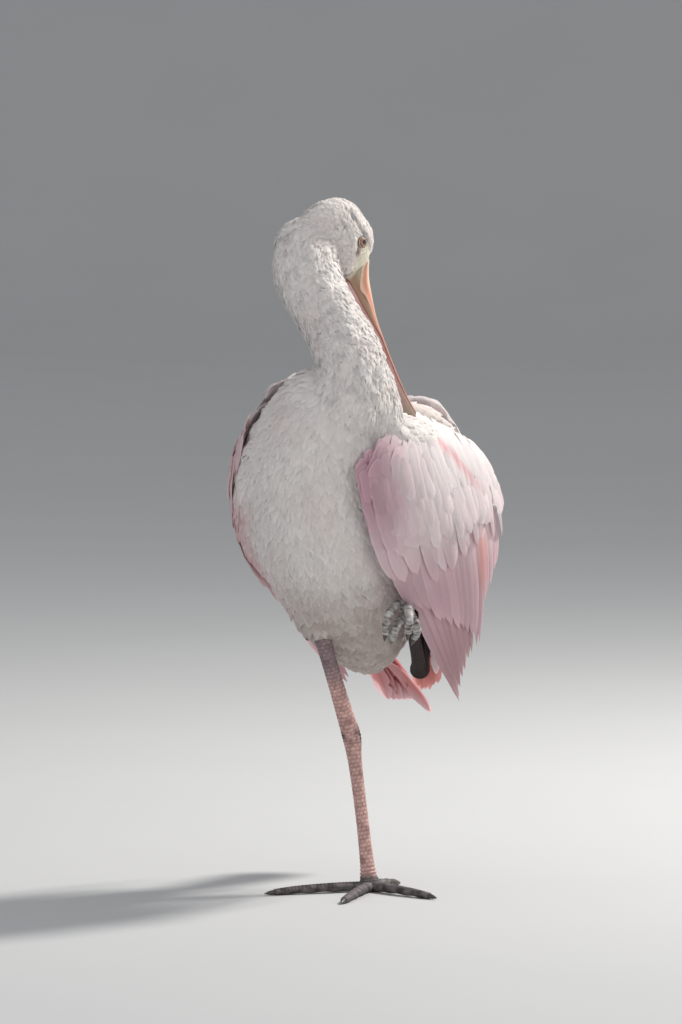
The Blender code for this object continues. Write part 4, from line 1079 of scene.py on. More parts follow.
def grow_leaves(shape, ground, roots, normals, size, seed):
    """Small feathers that follow the skin. size gives each its length, width, height, curl and more."""
    rows, columns = LEAF_ROWS, LEAF_COLUMNS
    draw = np.random.default_rng(seed)
    count = len(roots)
    length, width = size["length"] * MM, size["width"] * MM
    heading = lie(roots, normals)
    side = np.cross(normals, heading)
    swing = np.radians(size["swing"]) * draw.normal(size=count)
    heading = heading * np.cos(swing)[:, None] + side * np.sin(swing)[:, None]
    lift_at_root, lift_at_tip = size["sink"] * MM, size["rise"] * MM
    curl = size["curl"] * MM
    share = np.linspace(0, 1, rows)
    across = np.linspace(-1, 1, columns)
    ragged = 1 + size["ragged"] * (draw.random((count, columns)) - 0.5)
    outline = np.sin(np.clip(share * 0.86 + 0.10, 0, 1) * math.pi) ** LEAF_ROUND
    outline[-1] = LEAF_TIP
    place = roots.copy()
    blades = np.empty((count, rows, columns, 3))
    soft = np.empty_like(blades)
    turn = heading
    for row in range(rows):
        if row:
            place, here = ground.follow(place + turn * (length / (rows - 1))[:, None])
            turn = unit(turn - here * (turn * here).sum(-1, keepdims=True))
        else:
            here = normals
        sideways = np.cross(here, turn)
        rise = lift_at_root + (lift_at_tip - lift_at_root) * share[row] ** 0.7 + curl * share[row] ** 3
        middle = place + here * rise[:, None]
        half = width / 2 * outline[row]
        camber = (1 - across**2) * (width * 0.10)[:, None] * (0.4 + 0.6 * share[row])
        slide = (ragged - 1) * length[:, None] * share[row] ** 2
        slide = slide - across**2 * (length * 0.16 * share[row])[:, None]
        blades[:, row] = (middle[:, None] + sideways[:, None] * (half[:, None] * across)[..., None]
                          + here[:, None] * camber[..., None] + turn[:, None] * slide[..., None])
        soft[:, row] = unit(here[:, None] + sideways[:, None] * (across * LEAF_BEND)[..., None]
                            + turn[:, None] * (size["slope"] * (share[row] - 0.3)))
    own = unit(np.cross(np.gradient(blades, axis=2), np.gradient(blades, axis=1)))
    own *= np.where((own * soft).sum(-1, keepdims=True) < 0, -1, 1)
    soft = unit(own * 0.65 + soft * 0.35)
    colour = plumage_colour(roots)
    shade = 1 + size["shade"] * (draw.random(count) - 0.5)
    depth = blend(size["root_shade"], 1, share**0.7)
    tint = colour[:, None, None] * shade[:, None, None, None] * depth[None, :, None, None]
    tint = np.broadcast_to(tint, blades.shape)
    quads = grid_faces(rows, columns, closed=False)
    faces = (quads[None] + (np.arange(count) * rows * columns)[:, None, None]).reshape(-1, 4)
    corner = np.stack(np.meshgrid(across, share * 2 - 1, indexing="xy"), axis=-1) * 0.0015
    patch = unwrap(roots)[:, None, None] + corner[None]
    shape.add(blades, [faces], tint, soft, OFBake=patch)


def sizes(count, draw, **spans):
    """Sizes of many leaves: ranges are drawn evenly, in the order given, and numbers stay as they are."""
    return {name: draw.uniform(*span, count) if isinstance(span, tuple) else span
            for name, span in spans.items()}


def coat_pieces(name, ground, test, spacing, seed, material, slot, **span):
    """Leaves over a region of the skin, as pieces that each stay light enough to export."""
    roots, normals = ground.scatter(test, spacing * MM, seed)
    draw = np.random.default_rng(seed + 1)
    order = draw.permutation(len(roots))
    roots, normals = roots[order], normals[order]
    for number, start in enumerate(range(0, len(roots), PIECE_LEAVES)):
        part = slice(start, start + PIECE_LEAVES)
        shape = Shape()
        size = sizes(len(roots[part]), draw, **span)
        grow_leaves(shape, ground, roots[part], normals[part], size, seed + 2 + number)
        shape.build(f"{name}_{number + 1}", material, slot=slot)


def on_body(points):
    weights, _ = regions(points)
    return weights[:, 2] + weights[:, 3] + weights[:, 4] > 0.5


def on_neck(points):
    weights, _ = regions(points)
    return weights[:, 1] >= 0.5


def on_head(points):
    weights, _ = regions(points)
    return (weights[:, 0] > 0.5) & (bareness(points) < 0.2)


def make_coat(skin):
    ground = Ground(skin)
    down = down_material()
    coat_pieces("body_feathers", ground, on_body, 3.6, 100, down, "body feathers", length=(13, 19),
                width=(8, 11), sink=(-0.1, 0.5), rise=(2.4, 3.8), curl=(-0.8, 0.1), swing=14, ragged=0.18,
                slope=-0.10, root_shade=0.92, shade=0.08)
    coat_pieces("neck_down", ground, on_neck, 2.1, 200, down, "neck down", length=(7, 11), width=(3.4, 5.4),
                sink=(-0.1, 0.4), rise=(1.5, 2.5), curl=(-0.6, 0.1), swing=16, ragged=0.16, slope=-0.12,
                root_shade=0.90, shade=0.12)
    coat_pieces("head_down", ground, on_head, 1.6, 300, down, "head", length=(4, 6.5), width=(1.5, 2.5),
                sink=(-0.1, 0.2), rise=(1.0, 1.8), curl=(-0.3, 0.1), swing=16, ragged=0.2, slope=-0.10,
                root_shade=0.92, shade=0.10)


MARGIN = 1.0
LEFT_SHEET = Sheet(LEFT_WING, (1, -0.6, 0.2), MARGIN)
RIGHT_ROWS = (body_row(84, (192, 156, 120), (MARGIN,) * 3), body_row(-40, (190, 150, 112), (MARGIN,) * 3))
RIGHT_SHEET = Sheet((*RIGHT_ROWS, RIGHT_TIPS), -BODY_LEFT + 0.3 * BODY_BACK, MARGIN)
LEFT_BACK = Sheet(LEFT_MANTLE, (0.3, 0.7, 0.7), MARGIN)
RIGHT_BACK = Sheet([body_row(along, (97, 118, 140), (1, 11, 12)) for along in (92, 20, -60)],
                   BODY_BACK, MARGIN)

VANE_GRID, COVERT_GRID = (22, 9), (9, 7)
VANE_BEND = 0.3
PALE_EDGE = 0.3


def vane_outline(share, point):
    """Half width of a feather along its length. point runs from 0, round, to 1, pointed."""
    base = step(-0.12, 0.22, share)
    tip_start = 0.72 - 0.25 * point
    past = np.clip(share - tip_start, 0, 1) / (1 - tip_start)
    tip = np.sqrt(np.clip(1 - past ** (2.2 - 0.5 * point), 0, 1))
    return base * np.maximum(tip, 0.02) * (1 - 0.10 * share)


def add_vane(shape, sheet, root, tip, width, lift, draw, colour, point=0.3, roll=0.0, camber=0.10,
             ragged=0.05, twist=0.0, shaft=0.5, grid=VANE_GRID):
    """One feather on a sheet, from root to tip given as (x, y). lift is its height at root and tip."""
    rows, columns = grid
    share = np.linspace(0, 1, rows)
    across = np.linspace(-1, 1, columns)
    x = root[0] + (tip[0] - root[0]) * share
    y = root[1] + (tip[1] - root[1]) * share
    centre = sheet.at(x, y)
    out = sheet.out(np.clip(x, 0.02, 0.98), y)
    heading = unit(np.gradient(centre, axis=0))
    side = unit(np.cross(out, heading))
    out = np.cross(heading, side)
    # Towards the wing's front edge all layers come down onto each other
    tuck = step(-0.04, 0.10, y)
    rise = (lift[0] + (lift[1] - lift[0]) * share) * (0.35 + 0.65 * tuck) * MM
    length = np.linalg.norm(np.diff(centre, axis=0), axis=1).sum()
    half = width / 2 * MM * vane_outline(share, point)
    # Barbs that have come apart leave notches, and each side of the vane waves a little
    phases = draw.uniform(0, math.tau, 6)
    wave = sum(np.sin(share[:, None] * (9 + 7 * k) + phases[k] + np.sign(across) * (1 + k))
               for k in range(3)) / 3
    reach = 1 + ragged * wave * np.abs(across) ** 2
    notch_at, notch_side = draw.uniform(0.35, 0.9), draw.choice((-1, 1))
    notch = bell(share - notch_at, 0.035)[:, None] * (np.sign(across) == notch_side) * np.abs(across) ** 3
    reach = reach - notch * ragged * 3.2
    lean = across * roll + twist * share[:, None] * across
    arch = camber * width * MM * (1 - np.abs(across) ** 1.7)
    flutter = 0.35 * MM * wave * across**2 * (width / 14)
    ridge = shaft * MM * 0.5 * bell(across, 0.10) * (1 - share[:, None]) ** 0.5
    points = (centre[:, None] + side[:, None] * (half[:, None] * across * reach)[..., None]
              + out[:, None] * (rise[:, None] + lean * half[:, None] + arch * (half / half.max())[:, None]
                                + flutter + ridge)[..., None])
    bank = across * VANE_BEND - lean * 0.6 + 0.10 * wave * across**2
    soft = unit(out[:, None] + side[:, None] * bank[..., None]
                + heading[:, None] * (0.10 * (share[:, None] - 0.4))[..., None])
    tint = colour(share[:, None], across[None], x[:, None], y[:, None], draw)
    maps = np.stack(np.broadcast_arrays(half[:, None] * across / MM, share[:, None] * length / MM), axis=-1)
    shape.add(points, [grid_faces(rows, columns, closed=False)], np.clip(tint, 0, 1), soft, vane=maps)


def feather_colour(base, edge=1.06, shaft=COVERT_SHAFT, shaft_share=0.35, tip=None, streak=0.0, vary=0.05):
    """Colours over a vane. base is a colour, or gives one from the place on the sheet."""
    def colour(share, across, x, y, draw):
        ground = base(x, y) if callable(base) else np.array(base) * np.ones_like(x)[..., None]
        found = ground * (1 + vary * draw.normal()) * np.ones_like(across)[..., None]
        pale = np.clip(step(1 - PALE_EDGE, 1.0, np.abs(across)) + step(0.86, 1.0, share), 0, 1)
        found = mixed(found, np.minimum(found * edge + 0.04, 0.93), pale)
        if tip is not None:
            found = mixed(found, tip, step(0.6, 1.0, share) * np.ones_like(across) * 0.8)
        mark = shaft_share * bell(across, 0.12) * (1 - 0.4 * share)
        mark = mark + streak * bell(across, 0.45) * step(0.1, 0.5, share)
        return mixed(found, shaft, np.clip(mark, 0, 0.9))
    return colour


def feather_row(shape, sheet, count, x_root, x_tip, y_root, y_tip, width, lift, seed, colour, lean=1.0,
                loose=1.0, **more):
    """A row of feathers side by side, each lying over the one behind it."""
    draw = np.random.default_rng(seed)
    for n in range(count):
        k = n / max(count - 1, 1)
        jitter = draw.normal(size=5) * loose
        root = (x_root[0] + (x_root[1] - x_root[0]) * k, y_root[0] + (y_root[1] - y_root[0]) * k)
        tip = (x_tip[0] + (x_tip[1] - x_tip[0]) * k + 0.010 * jitter[0],
               y_tip[0] + (y_tip[1] - y_tip[0]) * k + 0.008 * jitter[1])
        size = width[0] + (width[1] - width[0]) * k + 0.6 * jitter[2]
        add_vane(shape, sheet, root, tip, size, lift, draw, colour, roll=(0.10 + 0.03 * jitter[3]) * lean,
                 twist=0.04 * jitter[4], **more)


def small_coverts(shape, sheet, x_span, y_span, steps, length, width, lift, seed, colour, lean=1.0):
    """Small round feathers scattered in loose, staggered rows over a part of a sheet."""
    draw = np.random.default_rng(seed)
    rows, columns = steps
    for row in reversed(range(rows)):
        for column in range(columns):
            jitter = draw.uniform(-0.5, 0.5, 6)
            x = x_span[0] + (x_span[1] - x_span[0]) * (row + 0.9 * jitter[0]) / max(rows - 1, 1)
            y = y_span[0] + (y_span[1] - y_span[0]) * (column + 0.5 * (row % 2) + 0.8 * jitter[1]) / columns
            reach = length * (1 + 0.5 * jitter[2])
            tall = lift * (0.4 + 0.6 * min(1, row / 4)) + 0.9 * jitter[5]
            add_vane(shape, sheet, (x - reach * 0.5, y), (x + reach * 0.5, y + 0.05 * jitter[3]),
                     width * (1 + 0.35 * jitter[4]), (tall - 1.8, tall), draw, colour, point=0.0,
                     roll=0.06 * lean + 0.16 * jitter[3], camber=0.16, shaft=0.2, ragged=0.10,
                     grid=COVERT_GRID)


def left_wing_colour(x, y):
    """White on the back, mauve at the front edge, rose grey to the tips, and a rose streak and red stripe."""
    ripple = 0.5 * np.sin(x * 31 + y * 17) + 0.5 * np.sin(y * 43 - x * 13)
    colour = mixed(LEFT_PINK, LEFT_WHITE, step(0.18, 0.62, y + 0.04 * ripple) * step(0.5, 0.1, x))
    colour = mixed(colour, LEFT_FRONT_MAUVE, step(0.34, 0.04, y + 0.03 * ripple) * step(0.62, 0.2, x) * 0.9)
    colour = mixed(colour, LEFT_ROSE_GREY, step(0.36, 0.62, x + 0.03 * ripple) * 0.95)
    colour = mixed(colour, LEFT_TIP_MAUVE, step(0.70, 1.0, x) * 0.85)
    streak = bell(y - 0.52 - 0.9 * x, 0.035) * step(-0.04, 0.03, x) * step(0.34, 0.2, x)
    colour = mixed(colour, LEFT_STREAK_ROSE, streak * 0.8)
    stripe = bell(y - 0.80, 0.03) * step(0.40, 0.50, x) * step(0.74, 0.60, x)
    return mixed(colour, LEFT_STRIPE_RED, stripe * 0.7)


def right_wing_colour(x, y):
    ripple = 0.5 * np.sin(x * 27 + y * 19) + 0.5 * np.sin(y * 39 - x * 11)
    colour = mixed(RIGHT_PINK, RIGHT_WHITE, step(0.15, 0.6, y + 0.05 * ripple) * step(0.5, 0.1, x))
    return mixed(colour, RIGHT_TIP_ROSE, step(0.55, 1.0, x) * 0.8)


WING_SEEDS = {"left": 1000, "right": 2000}


def make_wing(side, sheet, levels, lean, ground):
    """Flight feathers and the tiers of coverts over them."""
    vane = vane_material(side + " wing vanes", 0.6)
    base = WING_SEEDS[side]
    quills = Shape()
    hand, arm, greater, median, lesser = levels
    primary = feather_colour(ground, tip=PRIMARY_TIP, shaft=PRIMARY_SHAFT, shaft_share=0.5, vary=0.06)
    secondary = feather_colour(ground, shaft=SECONDARY_SHAFT, shaft_share=0.4)
    feather_row(quills, sheet, 10, (0.12, 0.12), (1.0, 0.84), (0.08, 0.46), (0.25, 0.9), (17, 17),
                (hand, hand + 0.8), base + 1, primary, lean, point=0.6, shaft=0.8)
    feather_row(quills, sheet, 12, (0.12, 0.12), (0.66, 0.84), (0.12, 0.74), (0.13, 0.79), (18, 18),
                (arm, arm + 0.8), base + 2, secondary, lean, point=0.25, shaft=0.7)
    feather_row(quills, sheet, 5, (0.10, 0.10), (0.72, 0.62), (0.76, 0.93), (0.82, 0.97), (20, 18),
                (arm + 0.9, arm + 1.6), base + 3, secondary, lean, point=0.15)
    nodes = (f"wing_{side}_primaries", f"wing_{side}_secondaries")
    quills.build(f"wing_{side}_quills", vane, nodes, "rose quills")
    coverts = Shape()
    plain = feather_colour(ground, shaft_share=0.12)
    feather_row(coverts, sheet, 16, (0.06, 0.06), (0.55, 0.49), (0.06, 0.93), (0.07, 0.95), (18, 18),
                (greater, greater + 0.6), base + 4, plain, lean, loose=2.4, point=0.05)
    feather_row(coverts, sheet, 16, (0.02, 0.02), (0.46, 0.41), (0.05, 0.93), (0.06, 0.95), (17, 17),
                (median - 1, median), base + 5, plain, lean, loose=2.6, point=0.0)
    small_coverts(coverts, sheet, (0.01, 0.36), (0.055, 0.98), (11, 17), 0.15, 14, lesser, base + 6, plain,
                  lean)
    coverts.build(f"wing_{side}_feathers", vane, (f"wing_{side}_coverts",), "pale pink feathers")


def make_mantle(name, sheet, lift, seed, replaces):
    """Shoulder feathers that lie over the base of a wing."""
    vane = vane_material(name + " vanes", 0.6)
    shape = Shape()
    white = feather_colour(MANTLE_WHITE, shaft=MANTLE_SHAFT, shaft_share=0.12)
    rows = ((0.45, 1.0), (0.30, 0.84), (0.16, 0.68), (0.04, 0.52))
    for number, (low, high) in enumerate(rows):
        heights = (lift + 0.4 * number, lift + 0.8 + 0.5 * number)
        feather_row(shape, sheet, 9, (low, low), (high, high), (0.04, 0.96), (0.03, 0.97), (25, 25), heights,
                    seed + number, white, loose=1.8, point=0.0)
    small_coverts(shape, sheet, (0.06, 0.5), (0.0, 0.98), (8, 11), 0.24, 17, lift + 3.0, seed + 9, white)
    shape.build(name, vane, replaces, "body feathers")


def tail_frame():
    """The tail's own directions: to its tip, across it and up from its upper face."""
    heading = unit(np.array(TAIL_LINE))
    side = unit(np.cross(heading, (0, 0, 1)))
    rise = np.cross(side, heading)
    turned = side * math.cos(TAIL_ROLL) - rise * math.sin(TAIL_ROLL)
    return heading, turned, np.cross(turned, heading)


def make_tail():
    """Twelve tail feathers, with the middle pair on top."""
    heading, side, top = tail_frame()
    vane = vane_material("tail vanes", 0.5)
    shape = Shape()
    colour = feather_colour(TAIL_ROSE, shaft=RED, tip=TAIL_TIP, streak=0.35)
    order = sorted(range(TAIL_FEATHERS), key=lambda n: abs(n - 5.5))
    draw = np.random.default_rng(3100)
    for layer, n in enumerate(order):
        place = -1 + 2 * n / (TAIL_FEATHERS - 1)
        spread = math.radians(-5.5 * place)
        ahead = heading * math.cos(spread) - side * math.sin(spread)
        across = side * math.cos(spread) + heading * math.sin(spread)
        root = mm(TAIL_ROOT) + (side * (place * 9) + top * ((5.5 - layer) * 0.8)) * MM
        reach = TAIL_LENGTH * (1 - 0.07 * place * place)
        rows = [[(root + (ahead * (reach * k) - top * (reach * TAIL_DROP * k * k)
                          + across * (8 * edge)) * MM) / MM
                 for edge in (-1, 0, 1)] for k in (0, 0.5, 1)]
        add_vane(shape, Sheet(rows, top), (-0.05, 0.5), (1.0, 0.5), 16.5, (0, 0), draw, colour, point=0.1,
                 roll=0.08 * np.sign(place), shaft=0.9, ragged=0.14)
    shape.build("tail_feathers", vane, ("tail",), "rose quills")


UNDERTAIL_ROWS = (((30, 44, 218), (38, 52, 214), (46, 60, 214)),
                  ((36, 62, 184), (44, 68, 182), (52, 74, 184)),
                  ((38, 82, 150), (47, 86, 146), (56, 90, 150)))


def make_undertail():
    """Soft red feathers under the tail, beside the raised leg, and two white ones over them."""
    vane = vane_material("undertail vanes", 0.7)
    sheet = Sheet(UNDERTAIL_ROWS, (0.3, -0.9, 0.1))
    shape = Shape()
    red = feather_colour(UNDERTAIL_RED, edge=1.15, shaft=UNDERTAIL_SHAFT, tip=UNDERTAIL_TIP, vary=0.08)
    white = feather_colour(UNDERTAIL_WHITE, shaft_share=0.1)
    feather_row(shape, sheet, 6, (0.0, 0.0), (0.98, 0.90), (0.02, 0.8), (-0.02, 0.9), (11, 11), (0, 0.6),
                3300, red, loose=2.2, point=0.1, ragged=0.16)
    feather_row(shape, sheet, 5, (-0.1, -0.1), (0.62, 0.55), (0.1, 0.8), (0.05, 0.85), (11, 11), (1.2, 1.8),
                3301, red, loose=2.2, point=0.1, ragged=0.16)
    feather_row(shape, sheet, 2, (0.2, 0.25), (0.80, 0.74), (0.72, 0.86), (0.80, 0.92), (9, 9), (2.2, 2.8),
                3302, white, point=0.3, ragged=0.12)
    shape.build("undertail_feathers", vane, slot="rose quills")


def make_feathers():
    make_wing("left", LEFT_SHEET, (2.2, 5.6, 9.4, 11.2, 12.8), -1, left_wing_colour)
    make_wing("right", RIGHT_SHEET, (1.9, 5.0, 8.4, 10.0, 11.8), 1, right_wing_colour)
    make_mantle("scapular_feathers_left", LEFT_BACK, 1.0, 4100, ("scapulars_left",))
    make_mantle("scapular_feathers_right", RIGHT_BACK, 1.0, 4200, ("scapulars_right",))
    make_tail()
    make_undertail()


BILL_ROOT = ((-24, 17.3, 24.0, -19), (-16, 15.1, 19.7, -16.1), (-8, 13.2, 15.3, -13.6))
# Where the horn begins, from the gape's edge to the middle of the ridge
HORN_START = ((0, -9), (0.35, -15), (0.8, -17.5), (0.95, -15), (1.0, -12))


def mouth_line(along):
    return -8.0 * np.maximum(0, 1 - np.maximum(along, -16) / 45)


def groove_line(along):
    """How far out the nostril's groove lies, as a share of the half width."""
    return 0.93 - 0.13 * step(2, -16, along) - 0.25 * step(0, 60, along)


def mandible_grid(part, rows, sides):
    """Half of the bill as a closed tube: part is 1 for the upper and -1 for the lower."""
    turn = np.linspace(0, math.pi, sides)
    start = smooth_curve(HORN_START, np.abs(np.cos(turn)))[:, 0]
    begin = np.concatenate((start, np.full(7, start[0]))) if part > 0 else np.full(sides + 7, -9.0)
    share = np.linspace(0, 1, rows)[:, None]
    place = begin + (BILL_LENGTH - begin) * (share * 0.75 + 0.25 * share**2)
    half, ridge, keel = np.moveaxis(smooth_curve(BILL_ROOT + BILL_STATIONS, place), -1, 0)
    # The horn rises out of the skin over its first few millimetres
    proud = 0.90 + 0.13 * step(0, 3, place - begin) - 0.03 * step(10, 26, place - begin)
    half, ridge, keel = half * proud, ridge * proud, keel * proud
    along, flat_along = place[:, :sides], place[:, sides:]
    flat_half = half[:, sides:]
    half, ridge, keel = half[:, :sides], ridge[:, :sides], keel[:, :sides]
    reach = ridge if part > 0 else -keel
    line = mouth_line(along)
    height = np.maximum(reach - part * line - 0.35, 0.5) * np.sin(turn) ** 0.85
    out = half * np.cos(turn)
    if part > 0:
        # The nostril is a slit in a groove that runs beside the ridge and fades near the spoon
        out_share = np.abs(np.cos(turn))
        beside = groove_line(along)
        groove = 0.7 * bell(out_share - beside, 0.05) * step(-16, -11, along) * step(150, 40, along)
        groove += 1.2 * bell(out_share - beside, 0.04) * step(-15, -12, along) * step(10, 2, along)
        height = np.maximum(height - groove * 1.6, 0.3)
    upper = head_place(along, line + part * (0.35 + height), part * out)
    under = np.linspace(1, -1, 9)[1:-1]
    flat = head_place(flat_along, mouth_line(flat_along) + part * 0.35, -part * flat_half * under)
    grid = np.concatenate((upper, flat), axis=1)
    return grid, place, np.concatenate((np.cos(turn) * part, -part * under))


def bill_tint(grid, along, out, part):
    """Pale ridge, coral sides, olive edges and a dark nostril; a dull mauve below; the spoon pale olive."""
    edge = np.abs(out)[None] * np.ones_like(along)
    wear = ripples(grid.reshape(-1, 3), 0.018, 60 + part).reshape(edge.shape)
    spoon = step(70, 130, along)
    if part < 0:
        tint = mixed(BILL_MAUVE, BILL_PALE_MAUVE, np.clip(0.5 + 0.5 * wear, 0, 1))
        return mixed(tint, SPOON_BELOW, spoon * 0.8)
    beside = groove_line(along)
    tint = mixed(CORAL, CREAM, step(0.76, 0.56, edge + 0.04 * wear))
    tint = mixed(tint, OLIVE, step(0.0, 0.04, edge - beside + 0.01 * wear) * step(60, 10, along))
    brown = bell(edge - beside + 0.09, 0.06) * step(-19, -15, along) * step(14, 0, along)
    tint = mixed(tint, NOSTRIL_BROWN, brown * 0.8)
    tint = mixed(tint, CREAM, bell(edge - beside + 0.015, 0.02) * step(40, 10, along) * 0.7)
    line = bell(edge - beside - 0.03, 0.03) * step(-17, -12, along) * step(90, 6, along)
    tint = mixed(tint, NOSTRIL, np.clip(line * 1.2, 0, 0.95))
    tint = mixed(tint, BILL_MARGIN, step(0.95, 1.0, edge) * 0.6)
    tint = mixed(tint, SPOON_ABOVE, spoon * step(1.0, 0.6, edge) * 0.8)
    return mixed(tint, BARE_FACE, step(3, 0, along - along[0]) * 0.7)


def make_bill():
    horn = horn_material()
    for name, part, slot in (("upper_bill", 1, "upper bill"), ("lower_bill", -1, "lower bill")):
        grid, along, out = mandible_grid(part, 170, 61)
        shape = Shape()
        tint = bill_tint(grid, along, out, part)
        rows, columns = grid.shape[:2]
        maps = np.stack(np.broadcast_arrays(out[None] * 12, along), axis=-1)
        ends = np.array(((0.0, 0.2), (0.0, BILL_LENGTH)))
        points = capped(grid)
        shape.add(points, turned_out(points, [grid_faces(rows, columns), cap_faces(rows, columns)]),
                  capped(tint), horn=np.concatenate((maps.reshape(-1, 2), ends)))
        shape.build(name, horn, ("bill_upper" if part > 0 else "bill_lower",), slot)


def make_eye(side):
    """An eyeball with iris and pupil, and the lids' thin rim over it."""
    name = "right" if side > 0 else "left"
    centre = head_place(EYE_PLACE[0], EYE_PLACE[1], side * EYE_OUT)
    look = unit(HEAD_RIGHT * side + HEAD_UP * 0.18 + HEAD_FORWARD * 0.12)
    across = unit(HEAD_FORWARD - look * (HEAD_FORWARD @ look))
    rise = np.cross(look, across)
    gaze = unit(look + HEAD_UP * 0.30)
    tilt = np.linspace(0.02, math.pi * 0.62, 40)[:, None]
    turn = np.linspace(0, math.tau, 64, endpoint=False)[None]
    radius = EYE_RADIUS * (1 + 0.05 * bell(tilt, 0.5))
    level = unit(across - gaze * (across @ gaze))
    upright = np.cross(gaze, level)
    ball = (centre + (gaze * (np.cos(tilt) * radius + 0 * turn)[..., None]
                      + level * (np.sin(tilt) * np.cos(turn) * radius)[..., None]
                      + upright * (np.sin(tilt) * np.sin(turn) * radius)[..., None]) * MM)
    streaks = np.sin(turn * 23 + 2 * np.sin(turn * 7)) * 0.5 + 0.5
    iris = mixed(AMBER, IRIS_STREAK, streaks * 0.5 * np.ones_like(tilt))
    tint = mixed(PUPIL, iris, step(*PUPIL_EDGE, tilt) * np.ones_like(turn))
    tint = mixed(tint, IRIS_RIM, step(*IRIS_EDGE, tilt) * np.ones_like(turn))
    shape = Shape()
    add_closed_grid(shape, ball, tint)
    shape.build("eyeball_" + name, eye_material(), ("eye_" + name,), "eye")
    # The lids meet in a low almond, the upper one thicker
    rim_turn = np.linspace(0, math.tau, 72, endpoint=False)
    opening = EYE_OPENING * (1 - 0.13 * np.abs(np.sin(rim_turn)) ** 2)
    spoke = across * np.cos(rim_turn)[:, None] + rise * np.sin(rim_turn)[:, None]
    height = np.sqrt(EYE_RADIUS**2 - opening**2)
    thickness = 0.42 + 0.15 * np.maximum(np.sin(rim_turn), 0) * side
    roll = np.linspace(0, math.tau, 12, endpoint=False)
    middle = spoke * opening[:, None] + look * (height + 0.15)[:, None]
    ring = (centre + (middle[:, None] + spoke[:, None] * (thickness[:, None] * np.cos(roll))[..., None]
                      + look * (thickness[:, None] * 0.8 * np.sin(roll))[..., None]) * MM)
    shape = Shape()
    rows, columns = ring.shape[:2]
    row, column = np.meshgrid(np.arange(rows), np.arange(columns), indexing="ij")
    here, there = row * columns + column, row * columns + (column + 1) % columns
    after = (row + 1) % rows * columns
    faces = np.stack((here, there, after + (column + 1) % columns, after + column), axis=-1).reshape(-1, 4)
    shape.add(ring, turned_out(ring.reshape(-1, 3), [faces]), LID)
    shape.build("eyelids_" + name, lid_material(), slot="head")


ROW_SHIFTS = 4096


def scute_relief(along, turn, pitch, columns, seed):
    """Raised scales round a leg, in rows that step like bricks. 1 on a scale and 0 between scales."""
    draw = np.random.default_rng(seed)
    shift = draw.uniform(-0.15, 0.15, ROW_SHIFTS)
    row = np.floor(along / pitch)
    v = along / pitch - row
    u = turn / math.tau * columns + 0.5 * (row % 2) + shift[(row.astype(int) * 7) % ROW_SHIFTS]
    column = np.floor(u)
    u = u - column
    gap = np.minimum(np.minimum(u, 1 - u) * 1.3, np.minimum(v, 1 - v))
    return step(0.0, 0.30, gap)


def leg_tint(base, dark, grid, scales, seed):
    patches = ripples(grid.reshape(-1, 3), 0.012, seed).reshape(grid.shape[:2])
    # Painted shade: darker in the grooves between the scales; the patches are mottling
    tint = mixed(dark, base, np.clip(0.35 + 0.65 * scales, 0, 1))
    return mixed(tint, np.array(dark), np.clip(patches * 0.5 - 0.15, 0, 0.6))


def make_standing_leg(material):
    stations = np.array(LEG_SHARES)
    route = Route(stations[:, :3], stations[:, 3])
    shares = np.linspace(0, 1, 420)
    turn = np.linspace(0, math.tau, 40, endpoint=False)[None]
    along = shares[:, None] * route.length
    scales = scute_relief(along, turn, 3.1, 9, 31)
    folds = 0.35 * np.sin(along * 2.4) * closeness(np.abs(along - 11), 5)
    folds = folds + 0.3 * np.sin(along * 2.1) * closeness(np.abs(along - 116), 6)
    relief = (0.34 * scales - 0.2 + folds) * MM
    grid = tube_grid(route, shares, 40, (0, 1, 0), relief)
    height = grid[..., 2] / MM
    tint = leg_tint(LEG_PINK, LEG_PINK_DARK, grid, scales, 32)
    tint = mixed(tint, leg_tint(LEG_GREY, LEG_GREY_DARK, grid, scales, 33), step(152, 176, height))
    worn = ripples(grid.reshape(-1, 3), 0.01, 34).reshape(height.shape)
    ankle = closeness(np.abs(height - 119), 4) * np.clip(0.5 + worn, 0, 1)
    tint = mixed(tint, ANKLE_DARK, np.clip(ankle, 0, 0.85))
    tint = mixed(tint, FOOT_GREY, step(16, 8, height))
    shape = Shape()
    add_closed_grid(shape, grid, tint)
    shape.build("leg_right", material, ("tarsus_right", "shank_right"), "leg skin")


